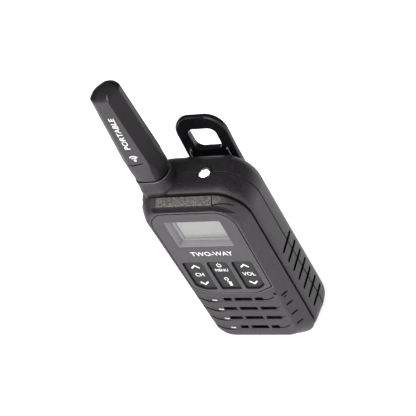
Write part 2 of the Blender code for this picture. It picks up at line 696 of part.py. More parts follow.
# Belt clip
def build_clip_bracket(materials):
    back = BACK_DEPTH + GAP
    z_middle = (BRACKET_TOP + BRACKET_BOTTOM) / 2
    z_half = (BRACKET_TOP - BRACKET_BOTTOM) / 2
    plate = prism("clip_bracket", "Y", rounded_box(BRACKET_HALF_X, z_half, 2.0, (CLIP_X, z_middle)),
                  depth_y(back), depth_y(back + BRACKET_THICK))
    tools = []
    for side in (-1, 1):
        centre = (depth_y(PIVOT_DEPTH), PIVOT_Z)
        foot = depth_y(back + 0.5)
        outline = [(foot, PIVOT_Z - 5.5)] + arc(centre, EAR_RADIUS, -60, 90, 8) + [(foot, PIVOT_Z + 3.2)]
        x = CLIP_X + side * EAR_X
        tools.append(prism("ear", "X", outline, x - EAR_THICK / 2, x + EAR_THICK / 2))
    combine(plate, tools, "UNION")
    cutters = []
    pin = circle(PIN_RADIUS + PIN_CLEARANCE, (depth_y(PIVOT_DEPTH), PIVOT_Z))
    cutters.append(prism("pin_cut", "X", pin, CLIP_X - 20.0, CLIP_X + 20.0))
    for side in (-1, 1):
        hole = circle(1.35, (CLIP_X + side * SCREW_X, SCREW_Z), 16)
        cutters.append(prism("screw_cut", "Y", hole, depth_y(back - CUT), depth_y(back + 3.0)))
    knuckles = circle(KNUCKLE_RADIUS + 0.4, (depth_y(PIVOT_DEPTH), PIVOT_Z))
    inside = EAR_X - EAR_THICK / 2
    cutters.append(prism("knuckle_cut", "X", knuckles, CLIP_X - inside, CLIP_X + inside))
    combine(plate, cutters)
    finish(plate, materials["clip"])


def build_bracket_screws(materials):
    for name, side in (("bracket_screw_left", -1), ("bracket_screw_right", 1)):
        centre = (CLIP_X + side * SCREW_X, SCREW_Z)
        head = BACK_DEPTH + GAP + BRACKET_THICK + GAP
        screw = loft(name, [
            place("Y", circle(0.8, centre, 16), depth_y(BACK_DEPTH - 3.5)),
            place("Y", circle(0.8, centre, 16), depth_y(head)),
            place("Y", circle(2.0, centre, 16), depth_y(head)),
            place("Y", circle(2.0, centre, 16), depth_y(head + 0.7)),
            place("Y", circle(1.4, centre, 16), depth_y(head + 1.0)),
        ])
        finish(screw, materials["steel"])


def clip_profile():
    """Side outline of the clip: leaning thumb lever, straight arm and hooked foot."""
    inner = PIVOT_DEPTH + CLIP_OFFSET
    outer = inner + CLIP_THICK
    reach = CLIP_TOP - PIVOT_Z
    lean = math.tan(CLIP_LEAN) * reach
    points = [(depth_y(inner), PIVOT_Z - 3.0), (depth_y(inner), PIVOT_Z)]
    points += [(depth_y(inner + lean), CLIP_TOP - 0.8), (depth_y(inner + lean + 0.8), CLIP_TOP)]
    points += [(depth_y(outer + lean - 0.8), CLIP_TOP), (depth_y(outer + lean), CLIP_TOP - 0.8)]
    points += [(depth_y(outer), PIVOT_Z), (depth_y(outer), CLIP_BOTTOM + 2.0)]
    points += [(depth_y(outer - 1.2), CLIP_BOTTOM), (depth_y(BACK_DEPTH + 2.0), CLIP_BOTTOM)]
    points += [(depth_y(BACK_DEPTH + 0.8), CLIP_BOTTOM + 1.8), (depth_y(BACK_DEPTH + 0.8), CLIP_BOTTOM + 3.2)]
    points += [(depth_y(inner), CLIP_BOTTOM + 6.2)]
    return points


def build_belt_clip(materials):
    clip = prism("belt_clip", "X", clip_profile(), CLIP_X - CLIP_HALF_X, CLIP_X + CLIP_HALF_X)
    pin_centre = (depth_y(PIVOT_DEPTH), PIVOT_Z)
    tools = []
    for side in (-1, 1):
        x = CLIP_X + side * KNUCKLE_X
        limits = (x - KNUCKLE_HALF, x + KNUCKLE_HALF)
        tools.append(prism("knuckle", "X", circle(KNUCKLE_RADIUS, pin_centre), limits[0], limits[1]))
    combine(clip, tools, "UNION")
    front, back = depth_y(30.0), depth_y(60.0)
    middle = (LOOP_TOP + LOOP_BOTTOM) / 2
    loop = rounded_box(LOOP_HALF_X, (LOOP_TOP - LOOP_BOTTOM) / 2, LOOP_RADIUS, (CLIP_X, middle), 6)
    cutters = [prism("loop_cut", "Y", loop, front, back)]
    pin = circle(PIN_RADIUS + PIN_CLEARANCE, pin_centre)
    cutters.append(prism("pin_cut", "X", pin, CLIP_X - 20.0, CLIP_X + 20.0))
    for side in (-1, 1):
        x = CLIP_X + side * EAR_X
        limits = (x - EAR_THICK / 2 - GAP, x + EAR_THICK / 2 + GAP)
        ear = circle(EAR_RADIUS + 0.5, pin_centre)
        cutters.append(prism("ear_cut", "X", ear, limits[0], limits[1]))
    cutters.append(prism("spring_cut", "X", circle(2.7, pin_centre), CLIP_X - 2.9, CLIP_X + 2.9))
    combine(clip, cutters)
    centre = (CLIP_X, (CLIP_TOP + CLIP_BOTTOM) / 2)
    half_z = (CLIP_TOP - CLIP_BOTTOM) / 2 + 0.01
    keep = prism("keep", "Y", rounded_box(CLIP_HALF_X, half_z, CLIP_CORNER, centre, 6), front, back)
    combine(clip, [keep], "INTERSECT")
    finish(clip, materials["clip"], (CLIP_X, pin_centre[0], PIVOT_Z))
    half = EAR_X + EAR_THICK / 2 + 0.6
    pin_body = prism("clip_pin", "X", circle(PIN_RADIUS, pin_centre), CLIP_X - half, CLIP_X + half)
    finish(pin_body, materials["steel"])
    spring = coil_along("clip_spring", (CLIP_X - 2.0, pin_centre[0], PIVOT_Z), (1, 0, 0), 1.85, 0.3, 4, 4.0, 12)
    finish(spring, materials["steel"])


def build_housing_screws(materials):
    spots = {"housing_screw_1": (-22.5, 92.0), "housing_screw_2": (22.5, 92.0),
             "housing_screw_3": (-24.2, 14.0), "housing_screw_4": (24.2, 14.0)}
    for name, centre in spots.items():
        screw = loft(name, [
            place("Y", circle(1.0, centre, 12), depth_y(10.4)),
            place("Y", circle(1.0, centre, 12), depth_y(20.0)),
            place("Y", circle(1.9, centre, 12), depth_y(20.0)),
            place("Y", circle(1.9, centre, 12), depth_y(21.2)),
        ])
        finish(screw, materials["steel"])


def main():
    remove_everything()
    materials = build_materials()
    build_front_housing(materials)
    build_rear_housing(materials)
    build_seal(materials)
    build_panel(materials)
    build_display(materials)
    build_keys(materials)
    build_board(materials)
    build_speaker(materials)
    build_torch(materials)
    build_antenna(materials)
    build_talk_button(materials)
    build_port(materials)
    build_battery(materials)
    build_battery_door(materials)
    build_clip_bracket(materials)
    build_bracket_screws(materials)
    build_belt_clip(materials)
    build_housing_screws(materials)


main()
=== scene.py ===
"""Looks of a handheld two-way radio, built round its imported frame.

Helper functions take millimetres and make meshes in metres. X runs to the radio's right, Y from
front to back and Z up. Depths are measured back from the face panel's plane.
"""
import math

import bmesh
import bpy
from mathutils import Matrix, Vector


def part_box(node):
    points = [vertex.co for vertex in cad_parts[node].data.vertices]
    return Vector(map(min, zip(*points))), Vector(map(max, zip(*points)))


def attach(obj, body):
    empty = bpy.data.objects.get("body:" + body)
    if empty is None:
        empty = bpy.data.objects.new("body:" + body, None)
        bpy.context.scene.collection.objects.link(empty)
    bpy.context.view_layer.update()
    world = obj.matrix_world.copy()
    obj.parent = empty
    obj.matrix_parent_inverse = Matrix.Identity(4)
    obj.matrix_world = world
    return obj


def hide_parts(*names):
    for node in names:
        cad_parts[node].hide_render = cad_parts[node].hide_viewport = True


MM = 0.001

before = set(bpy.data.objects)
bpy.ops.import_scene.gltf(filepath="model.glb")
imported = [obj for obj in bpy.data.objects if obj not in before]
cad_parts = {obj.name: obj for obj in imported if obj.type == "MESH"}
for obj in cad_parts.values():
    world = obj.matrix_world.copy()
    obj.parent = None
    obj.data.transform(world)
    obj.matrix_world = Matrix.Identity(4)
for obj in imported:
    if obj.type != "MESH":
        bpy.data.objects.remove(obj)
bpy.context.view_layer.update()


def node_box(node):
    """A node's lowest and highest corners in millimetres."""
    low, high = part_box(node)
    return Vector(low) / MM, Vector(high) / MM


def node_centre(node):
    low, high = node_box(node)
    return (low + high) / 2


def node_half(node):
    low, high = node_box(node)
    return (high - low) / 2


# Places read from the frame, and sizes that several pieces share
PANEL_LOW, PANEL_HIGH = node_box("face_panel")
FACE_Y = PANEL_LOW.y
PANEL_TOP = PANEL_HIGH.z
PANEL_BOTTOM = PANEL_LOW.z
WINDOW = node_centre("display_window")
TALK = node_centre("ptt_button")
PORT = node_centre("port_cover")
TORCH = node_centre("torch_bezel")
RING = node_centre("antenna_ring")
ANTENNA_LOW, ANTENNA_HIGH = node_box("antenna_cover")
CLIP_LOW, CLIP_HIGH = node_box("belt_clip")
PIN = node_centre("clip_pin")
DOOR_LOW, DOOR_HIGH = node_box("battery_door")
LATCH = node_centre("door_latch")
BACK_DEPTH = node_box("rear_housing")[1].y - FACE_Y
BOSS_TOP = node_box("rear_housing")[1].z
BOSS_X = -18.9
BOSS_Y = FACE_Y + 16.2
BOSS_HALF = (9.25, 7.45)
WINDOW_X = -0.3
SLIT = 0.3                       # clearance line round a loose piece
CUT = 1.0                        # how far a cutter runs past a surface
ANTENNA_LEAN = 1.5
CORNER_STEPS = 20
DOOR_HALF = 17.5                 # half the battery door's width
ANTENNA_CORNER = 0.62            # radius of the corner under the antenna, over the other's
WINDOW_HALF = (15.9, 9.35)
KEY_CORNER_CUT = (4.2, 3.0)
KEY_SIDES = {"channel_key": -1, "menu_key": 0, "volume_key": 1}


# ---------------------------------------------------------------- shape helpers
def depth_y(depth):
    return FACE_Y + depth


def arc(centre, radius, start, end, steps):
    """Points on an arc, with its angles in degrees."""
    points = []
    for step in range(steps + 1):
        angle = math.radians(start + (end - start) * step / steps)
        points.append((centre[0] + radius * math.cos(angle), centre[1] + radius * math.sin(angle)))
    return points


def circle(radius, centre=(0.0, 0.0), steps=48):
    return arc(centre, radius, 0, 360, steps)[:-1]


def rounded_box(half_a, half_b, radius, centre=(0.0, 0.0), steps=8):
    a, b = half_a - radius, half_b - radius
    points = arc((centre[0] + a, centre[1] + b), radius, 0, 90, steps)
    points += arc((centre[0] - a, centre[1] + b), radius, 90, 180, steps)
    points += arc((centre[0] - a, centre[1] - b), radius, 180, 270, steps)
    points += arc((centre[0] + a, centre[1] - b), radius, 270, 360, steps)
    return points


def rectangle(half_a, low, high):
    return [(-half_a, low), (half_a, low), (half_a, high), (-half_a, high)]


def soft_polygon(corners, reach, steps=5):
    """A polygon whose corners are eased by curves that start reach away from each corner."""
    points = []
    count = len(corners)
    for i, corner in enumerate(corners):
        here = Vector(corner)
        before = Vector(corners[i - 1]) - here
        after = Vector(corners[(i + 1) % count]) - here
        ease = reach[i] if isinstance(reach, (list, tuple)) else reach
        start = here + before.normalized() * min(ease, before.length * 0.49)
        end = here + after.normalized() * min(ease, after.length * 0.49)
        for step in range(steps + 1):
            t = step / steps
            point = start * (1 - t) ** 2 + here * 2 * t * (1 - t) + end * t ** 2
            points.append((point.x, point.y))
    return points


def place(axis, outline, level):
    """Put a flat outline across an axis: (y, z) for X, (x, z) for Y and (x, y) for Z."""
    if axis == "X":
        return [(level, a, b) for a, b in outline]
    if axis == "Y":
        return [(a, level, b) for a, b in outline]
    return [(a, b, level) for a, b in outline]


def linked(name, data):
    """A new object in the scene."""
    made = bpy.data.objects.new(name, data)
    bpy.context.scene.collection.objects.link(made)
    return made


def object_from(name, work):
    mesh = bpy.data.meshes.new(name)
    work.to_mesh(mesh)
    work.free()
    return linked(name, mesh)


def loft(name, rings, looped=False):
    """A solid through rings of equal counts; looped joins the last ring to the first."""
    work = bmesh.new()
    rows = [[work.verts.new(point) for point in ring] for ring in rings]
    following = rows[1:] + rows[:1] if looped else rows[1:]
    for row, after in zip(rows, following):
        for i in range(len(row)):
            j = (i + 1) % len(row)
            work.faces.new((row[i], row[j], after[j], after[i]))
    if not looped:
        work.faces.new(rows[0])
        work.faces.new(rows[-1])
    bmesh.ops.recalc_face_normals(work, faces=work.faces)
    bmesh.ops.scale(work, vec=(MM, MM, MM), verts=work.verts)
    return object_from(name, work)


def stack(name, axis, layers, looped=False):
    """A solid through flat outlines, each given with its level along the axis."""
    return loft(name, [place(axis, outline, level) for outline, level in layers], looped)


def prism(name, axis, outline, low, high):
    return stack(name, axis, ((outline, low), (outline, high)))


def bars(axis, boxes, low, high, steps=4):
    """Rounded bars to cut with: each box is two half sizes, a corner radius and a centre."""
    return [prism("bar", axis, rounded_box(*box, steps), low, high) for box in boxes]


def combine(target, tools, operation="DIFFERENCE"):
    """Apply one exact Boolean for each tool, then drop the tool."""
    for tool in tools:
        step = target.modifiers.new(operation.lower(), "BOOLEAN")
        step.operation = operation
        step.solver = "EXACT"
        step.object = tool
        graph = bpy.context.evaluated_depsgraph_get()
        result = bpy.data.meshes.new_from_object(target.evaluated_get(graph))
        target.modifiers.clear()
        target.data = result
        bpy.data.objects.remove(tool, do_unlink=True)
    return target


def join(name, parts):
    """One object from several, which are dropped."""
    work = bmesh.new()
    for part in parts:
        part.data.transform(part.matrix_world)
        work.from_mesh(part.data)
        bpy.data.objects.remove(part, do_unlink=True)
    return object_from(name, work)


def smooth_rows(rows, steps):
    """Rows of sizes eased between the given ones."""
    eased = []
    for i in range(len(rows) - 1):
        before, here = rows[max(i - 1, 0)], rows[i]
        after, beyond = rows[i + 1], rows[min(i + 2, len(rows) - 1)]
        for step in range(steps):
            t = step / steps
            row = []
            for a, b, c, d in zip(before, here, after, beyond):
                value = 2 * b + (c - a) * t + (2 * a - 5 * b + 4 * c - d) * t * t
                value += (3 * b - a - 3 * c + d) * t ** 3
                row.append(value / 2)
            eased.append(tuple(row))
    eased.append(rows[-1])
    return eased


def body_section(depth, half_top, half_bottom, top, bottom, round_top, round_bottom):
    """One section of the housing across its depth; the corner under the antenna is squarer."""
    steps = CORNER_STEPS
    outline = arc((half_top - round_top, top - round_top), round_top, 0, 90, steps)
    square = round_top * ANTENNA_CORNER
    outline += arc((square - half_top, top - square), square, 90, 180, steps)
    outline += arc((round_bottom - half_bottom, bottom + round_bottom), round_bottom, 180, 270, steps)
    outline += arc((half_bottom - round_bottom, bottom + round_bottom), round_bottom, 270, 360, steps)
    return place("Y", outline, depth_y(depth))


def dress(piece, finish, body="radio", node=None, bevel=0.0, segments=2, crease=32.0):
    """Shade, round the edges, give the material, and say what the piece rides on and stands for."""
    piece.data.materials.clear()
    piece.data.materials.append(FINISH[finish])
    for polygon in piece.data.polygons:
        polygon.material_index = 0
    piece.data.shade_smooth()
    piece.data.set_sharp_from_angle(angle=math.radians(crease))
    if bevel:
        rounding = piece.modifiers.new("rounded edges", "BEVEL")
        rounding.width = bevel * MM
        rounding.segments = segments
        rounding.limit_method = "ANGLE"
        rounding.angle_limit = math.radians(crease)
        rounding.use_clamp_overlap = True
    piece.modifiers.new("weighted normals", "WEIGHTED_NORMAL").keep_sharp = True
    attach(piece, body)
    if node:
        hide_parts(node)


# ---------------------------------------------------------------- materials
class Finish:
    """A Principled material with room for procedural layers in object space."""

    def __init__(self, name, colour, roughness, **inputs):
        self.material = bpy.data.materials.new(name)
        self.material.use_nodes = True
        self.tree = self.material.node_tree
        self.coords = self.tree.nodes.new("ShaderNodeTexCoord").outputs["Object"]
        self.shader = self.tree.nodes["Principled BSDF"]
        self.surface(Base_Color=(*colour, 1.0), Roughness=roughness, Specular_IOR_Level=SHEEN)
        self.surface(**inputs)

    def fill(self, node, values):
        """Set a node's inputs from constants or sockets."""
        for key, value in values.items():
            if isinstance(value, bpy.types.NodeSocket):
                self.tree.links.new(value, node.inputs[key])
            else:
                node.inputs[key].default_value = value
        return node

    def surface(self, **inputs):
        """Set the shader's own inputs, named with _ for each space."""
        self.fill(self.shader, {key.replace("_", " "): value for key, value in inputs.items()})

    def node(self, kind, values):
        return self.fill(self.tree.nodes.new("ShaderNode" + kind), values)

    def texture(self, kind, size, stretch, values):
        """A texture whose features are about size millimetres across."""
        scale = tuple(value / (size * MM) for value in stretch)
        mapping = self.node("Mapping", {"Scale": scale, "Vector": self.coords})
        return self.node(kind, {"Scale": 1.0, "Vector": mapping.outputs["Vector"], **values})

    def noise(self, size, detail=2.0, stretch=(1, 1, 1)):
        return self.texture("TexNoise", size, stretch, {"Detail": detail}).outputs["Fac"]

    def cells(self, size, randomness=1.0):
        return self.texture("TexVoronoi", size, (1, 1, 1), {"Randomness": randomness}).outputs["Distance"]

    def remap(self, value, low, high, out_low=0.0, out_high=1.0):
        values = {"Value": value, "From Min": low, "From Max": high, "To Min": out_low, "To Max": out_high}
        return self.node("MapRange", values).outputs["Result"]

    def product(self, first, second):
        node = self.node("Math", {0: first, 1: second})
        node.operation = "MULTIPLY"
        return node.outputs["Value"]

    def axis(self, name):
        """Object-space position along one axis, in metres."""
        return self.node("SeparateXYZ", {"Vector": self.coords}).outputs[name]

    def blend(self, factor, first, second):
        """Mix two colours; the first may be a socket."""
        node = self.tree.nodes.new("ShaderNodeMix")
        node.data_type = "RGBA"
        start = (*first, 1.0) if isinstance(first, tuple) else first
        self.fill(node, {"Factor": factor, 6: start, 7: (*second, 1.0)})
        return node.outputs[2]

    def bump(self, *heights):
        """Chain bumps: (height socket, depth in millimetres)."""
        linked_normal = {}
        for height, depth in heights:
            values = {"Strength": 1.0, "Distance": depth * MM, "Height": height, **linked_normal}
            linked_normal = {"Normal": self.node("Bump", values).outputs["Normal"]}
        self.surface(**linked_normal)


SHEEN = 0.45                     # usual strength of a plastic's reflection


def moulded(name, colour, fleck, roughness, grain, depth, coarse=None, sheen=SHEEN):
    """Spark-eroded moulded plastic: fine pits, faint flecks and a little unevenness in gloss."""
    finish = Finish(name, colour, roughness, Specular_Tint=(1.0, 0.94, 1.0, 1.0), Specular_IOR_Level=sheen)
    fine = finish.noise(grain, 3.0)
    patches = finish.remap(finish.noise(14.0), 0.3, 0.7)
    toned = finish.blend(patches, tuple(0.88 * value for value in colour), colour)
    finish.surface(Base_Color=finish.blend(finish.remap(fine, 0.48, 0.72), toned, fleck),
                   Roughness=finish.remap(fine, 0.3, 0.7, roughness - 0.07, roughness + 0.07))
    heights = [(fine, depth)]
    if coarse:
        heights.append((finish.noise(coarse), depth * 1.5))
    finish.bump(*heights)
    return finish.material


def sparkle_finish(name, strength, fade):
    """Coarse eroded grain of the top insert; its bright specks are a painted glint on facets that catch the
    light, and fade gives where the glints start and reach full strength.
    """
    finish = Finish(name, (0.10, 0.098, 0.09), 0.42)
    grains = finish.cells(0.75)
    fine = finish.noise(0.45, 3.0)
    # light is the painted glint on the grain's facets
    light = finish.remap(finish.product(grains, fine), 0.08, 0.42)
    light = finish.product(light, finish.remap(finish.axis("X"), *fade))
    bright = tuple(value * strength for value in (0.13, 0.127, 0.115))
    finish.surface(Base_Color=finish.blend(light, (0.012, 0.0115, 0.011), bright),
                   Roughness=finish.remap(fine, 0.35, 0.65, 0.3, 0.55))
    finish.bump((grains, 0.22), (fine, 0.12))
    return finish.material


def gloss_finish(name, sheen):
    """Injection-moulded gloss black, with faint flow waviness and hairline scuffs."""
    finish = Finish(name, (0.006, 0.006, 0.0075), 0.16, Specular_IOR_Level=sheen)
    scuffs = finish.noise(0.5, 4.0, (1, 1, 0.12))
    finish.surface(Roughness=finish.remap(scuffs, 0.45, 0.75, 0.12, 0.3))
    finish.bump((finish.noise(9.0, 1.0), 0.05), (scuffs, 0.003))
    return finish.material


def rubber_finish(name, colour, roughness, sheen):
    """Matte rubber, or a smooth sleeve, with a little dust."""
    finish = Finish(name, colour, roughness, Specular_IOR_Level=sheen)
    dust = finish.noise(6.0, 4.0)
    dusty = tuple(min(1.0, value * 1.6 + 0.004) for value in colour)
    finish.surface(Base_Color=finish.blend(finish.remap(dust, 0.45, 0.75), colour, dusty),
                   Roughness=finish.remap(dust, 0.3, 0.7, roughness - 0.08, roughness + 0.08))
    finish.bump((finish.noise(0.3, 3.0), 0.02))
    return finish.material


def metal_finish(name, colour, roughness=0.28):
    """Drawn or turned metal with fine lines."""
    finish = Finish(name, colour, roughness, Metallic=1.0)
    lines = finish.noise(0.25, 3.0, (1, 0.08, 1))
    finish.surface(Roughness=finish.remap(lines, 0.3, 0.7, roughness - 0.08, roughness + 0.12))
    finish.bump((lines, 0.004))
    return finish.material


def print_finish():
    """White screen printing with slight thin spots."""
    finish = Finish("legend_white", (0.82, 0.82, 0.82), 0.5)
    thin = finish.remap(finish.noise(0.35, 3.0), 0.3, 0.55)
    finish.surface(Base_Color=finish.blend(thin, (0.6, 0.6, 0.6), (0.88, 0.88, 0.88)))
    return finish.material


def display_finish():
    """Reflective liquid crystal: pale grey, lighter towards the top as a painted sheen."""
    finish = Finish("display_grey", (0.48, 0.50, 0.47), 0.22, Coat_Weight=0.35, Coat_Roughness=0.08)
    height = finish.remap(finish.axis("Z"), (WINDOW.z - 9) * MM, (WINDOW.z + 9) * MM)
    shaded = finish.blend(height, (0.22, 0.225, 0.212), (0.25, 0.255, 0.242))
    fine = finish.remap(finish.noise(0.3), 0.4, 0.7, 0.0, 0.25)
    finish.surface(Base_Color=finish.blend(fine, shaded, (0.24, 0.245, 0.23)))
    return finish.material


def glow_finish(name, colour, strength):
    """A lit surface, a little uneven."""
    finish = Finish(name, (0.9, 0.9, 0.92), 0.2, Emission_Color=(*colour, 1.0), Emission_Strength=strength)
    finish.bump((finish.noise(0.8), 0.05))
    return finish.material


def board_finish():
    """Green board with tracks showing through."""
    finish = Finish("solder_mask", (0.015, 0.09, 0.04), 0.35)
    tracks = finish.remap(finish.cells(1.6, 0.4), 0.2, 0.35)
    finish.surface(Base_Color=finish.blend(tracks, (0.03, 0.16, 0.06), (0.015, 0.09, 0.04)))
    return finish.material


def cloth_finish():
    """Woven black mesh."""
    finish = Finish("speaker_mesh", (0.008, 0.008, 0.008), 0.9)
    finish.bump((finish.cells(0.4, 0.0), 0.1))
    return finish.material


MOULDED = {                      # name, colour, fleck colour, roughness, grain, depth, coarser grain, sheen
    "housing": ("housing_plastic", (0.0088, 0.0079, 0.0088), (0.034, 0.032, 0.034), 0.46, 0.5, 0.035, 1.4),
    "front": ("front_plastic", (0.0145, 0.0135, 0.0145), (0.04, 0.038, 0.04), 0.46, 0.5, 0.035, 1.4),
    "inlay": ("inlay_film", (0.036, 0.032, 0.037), (0.05, 0.046, 0.051), 0.42, 0.45, 0.016),
    # lighter satin used as a painted highlight on the panel lip and the antenna's ridge
    "painted_highlight": ("highlight_satin", (0.07, 0.068, 0.07), (0.10, 0.098, 0.10), 0.3, 0.4, 0.006),
    "antenna": ("antenna_rubber", (0.019, 0.0178, 0.019), (0.04, 0.038, 0.04), 0.5, 0.5, 0.03, 1.2),
    # darker copy of the antenna rubber, used as painted shade on its far side and tip
    "antenna_shaded_side": ("antenna_flank_shade", (0.0085, 0.008, 0.0085), (0.016, 0.015, 0.016), 0.42, 0.5, 0.02,
                     1.2, 0.2),
    # lighter glossy film used as a painted highlight round the antenna boss's lip
    "lip_highlight": ("boss_lip_highlight", (0.06, 0.057, 0.06), (0.09, 0.087, 0.09), 0.3, 0.4, 0.01, None, 0.8),
    "surround": ("display_surround", (0.215, 0.21, 0.216), (0.245, 0.24, 0.245), 0.4, 0.4, 0.006),
}
RUBBER = {                       # name, colour, roughness, sheen
    "keys": ("key_rubber", (0.0095, 0.0095, 0.0102), 0.55, 0.3),
    "crease": ("crease_shade", (0.006, 0.0056, 0.006), 0.6, 0.22),
    # black seal rubber, also laid as painted shade under the crown wrap
    "seal": ("seal_rubber_and_shade", (0.003, 0.003, 0.003), 0.85, 0.12),
    "battery": ("battery_sleeve", (0.05, 0.08, 0.16), 0.4, 0.4),
}
FINISH = {
    "crown": sparkle_finish("crown_insert", 1.0, (-17.6 * MM, -16.9 * MM)),
    "crown_end": sparkle_finish("crown_wrap", 0.8, (16 * MM, 22 * MM, 1.0, 0.0)),
    "gloss": gloss_finish("gloss_black", 0.3),
    "gloss_bright": gloss_finish("gloss_rib", 1.0),
    "steel": metal_finish("plain_steel", (0.5, 0.5, 0.52)),
    "brass": metal_finish("plain_brass", (0.62, 0.47, 0.2)),
    "magnet": metal_finish("magnet_grey", (0.2, 0.2, 0.21), 0.45),
    "print": print_finish(),
    "display": display_finish(),
    "glow": glow_finish("torch_glow", (1.0, 0.98, 0.97), 4.0),
    # the reflector cup's glow is painted light from the lamp
    "flare": glow_finish("torch_cup", (1.0, 0.7, 0.58), 0.3),
    "board": board_finish(),
    "cloth": cloth_finish(),
}
for key, values in MOULDED.items():
    FINISH[key] = moulded(*values)
for key, values in RUBBER.items():
    FINISH[key] = rubber_finish(*values)

CARRIED = {                      # pieces that keep their own solid, by finish
    "seal": ("antenna_ring", "display_gasket", "keypad_mat"),
    "board": ("display_module", "main_board"),
    "cloth": ("speaker_cone", "speaker_cloth"),
    "magnet": ("speaker_magnet",),
    "brass": ("antenna_core", "antenna_coil", "accessory_jack", "battery_contact_left",
              "battery_contact_right"),
    "steel": ("speaker_frame", "microphone", "ptt_switch", "clip_pin", "clip_spring", "housing_screw_1",
              "housing_screw_2", "housing_screw_3", "housing_screw_4"),
    "battery": ("battery_pack",),
    "gloss": ("clip_bracket",),
    "glow": ("torch_lamp",),
}


def finish_carried_nodes():
    """Give the pieces that keep their own solid their materials."""
    for finish, nodes in CARRIED.items():
        for node in nodes:
            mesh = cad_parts[node].data
            mesh.materials.clear()
            mesh.materials.append(FINISH[finish])


# ---------------------------------------------------------------- housings
FRONT_ROWS = [
    (0.0, 24.8, 22.2, 99.5, 6.0, 11.2, 7.2),
    (0.10, 25.1, 22.6, 99.8, 5.65, 11.4, 7.4),
    (0.40, 25.5, 23.1, 100.25, 5.1, 11.8, 7.8),
    (0.80, 25.95, 23.6, 100.6, 4.6, 12.1, 8.1),
    (2.5, 27.0, 25.0, 101.6, 3.2, 13.0, 8.8),
    (4.3, 28.1, 26.7, 102.7, 1.6, 14.1, 9.3),
    (6.0, 29.0, 28.6, 103.65, 0.25, 15.1, 9.9),
    (6.55, 29.23, 29.13, 103.92, 0.0, 15.4, 10.0),
    (7.0, 29.3, 29.3, 104.0, 0.0, 15.5, 10.1),
]
FRONT_INSIDE = [(7.0, 26.8, 26.8, 102.0, 2.0, 13.5, 8.5), (3.0, 25.0, 23.4, 100.0, 4.2, 12.0, 7.5)]
CROWN_CORNER = (12.2, 87.6)      # the upper right corner that the crown's step turns about
CREASE_DEPTH = 19.5              # the fine groove round the rear housing
SEAM = (6.96, 8.54)              # front and back of the groove between the housings
REAR_ROWS = [
    (BACK_DEPTH, 19.2, 19.2, 98.6, 8.6, 10.0, 7.6),
    (BACK_DEPTH - 0.35, 21.0, 21.0, 100.7, 6.4, 11.1, 8.0),
    (BACK_DEPTH - 1.3, 23.0, 23.0, 102.8, 4.4, 12.3, 8.6),
    (BACK_DEPTH - 3.8, 26.2, 26.2, 105.4, 1.6, 14.2, 10.0),
    (BACK_DEPTH - 7.5, 28.8, 28.8, 106.7, 0.15, 15.8, 10.6),
    (BACK_DEPTH - 11.5, 29.9, 29.9, 107.0, 0.0, 16.5, 10.6),
    (CREASE_DEPTH + 0.45, 30.3, 30.3, 107.0, 0.0, 16.8, 10.6),
]
REAR_LIP_ROWS = [
    (CREASE_DEPTH + 0.2, 29.95, 29.95, 106.65, 0.3, 16.5, 10.4),
    (CREASE_DEPTH - 0.1, 29.95, 29.95, 106.65, 0.3, 16.5, 10.4),
    (CREASE_DEPTH - 0.3, 30.2, 30.2, 106.9, 0.0, 16.75, 10.6),
    (14.0, 30.1, 30.1, 106.7, 0.0, 16.65, 10.5),
    (11.8, 30.0, 30.0, 106.4, 0.0, 16.5, 10.5),
    (10.4, 29.85, 29.85, 105.95, 0.0, 16.3, 10.4),
    (9.5, 29.65, 29.65, 105.5, 0.05, 16.1, 10.3),
    (8.9, 29.4, 29.4, 105.0, 0.15, 15.8, 10.15),
    (8.6, 29.15, 29.15, 104.55, 0.35, 15.4, 10.0),
    (8.5, 28.75, 28.75, 104.0, 0.7, 15.0, 9.9),
]
REAR_INSIDE = [
    (8.5, 26.3, 26.3, 101.6, 2.2, 14.0, 8.6),
    (14.0, 27.2, 27.2, 103.9, 2.0, 14.6, 8.6),
    (CREASE_DEPTH, 27.2, 27.2, 104.3, 2.0, 14.6, 8.6),
    (BACK_DEPTH - 8.5, 26.1, 26.1, 104.2, 2.2, 14.0, 8.6),
    (BACK_DEPTH - 4.4, 23.2, 23.2, 102.2, 4.0, 12.6, 8.0),
    (BACK_DEPTH - 2.0, 19.6, 19.6, 98.8, 7.4, 10.6, 7.6),
]
ROW_HEIGHTS = (35.1, 27.8, 20.4, 13.0)
SLOT_HALF = 1.15
SLOT_DROP = 0.65
SLOT_SLOPE = 1.2                 # the slots run downward as they run in
SLOT_GAP = 1.75
SLOT_CENTRE = 2.0
SLOTS_SHORT = (4.5, 10.0, 4.7)
SLOTS_LONG = (7.4, 10.3, 8.9)
LOUVRE_PATH = (                  # x, upper edge, lower edge, depth of the floor
    (-18.6, 2.0, -0.9, 0.05), (-17.2, 1.4, -1.7, 0.3), (-15.8, 0.75, -2.2, 0.5), (-14.0, 0.45, -2.55, 0.5),
    (-12.5, 0.4, -2.9, 0.45), (13.0, 0.4, -2.9, 0.45), (17.8, 0.4, -2.7, 0.4), (19.6, 0.55, -1.5, 0.2),
    (20.8, 0.8, 0.0, 0.03),
)
EDGE_PATH = (                    # x, rise, width, how far the surface has fallen back
    (-26.5, 3.5, 0.7, 3.6), (-24.4, 2.2, 0.85, 1.3), (-22.6, 1.0, 1.0, 0.15), (-21.5, 0.15, 1.05, 0.0),
    (-19.4, -1.35, 1.15, 0.0), (-17.8, -2.05, 1.1, 0.0), (-16.3, -2.5, 0.95, 0.0), (-14.8, -2.7, 0.7, 0.0),
    (-13.4, -2.75, 0.45, 0.0), (-11.8, -2.7, 0.15, 0.0),
)
TAIL_LONG = ((10.6, -0.95, 0.6, 0.0), (13.2, -1.25, 0.65, 0.0), (15.6, -1.2, 0.65, 0.0),
             (18.0, -0.5, 0.65, 0.0), (19.8, 0.5, 0.6, 0.0), (20.9, 1.5, 0.35, 0.0))
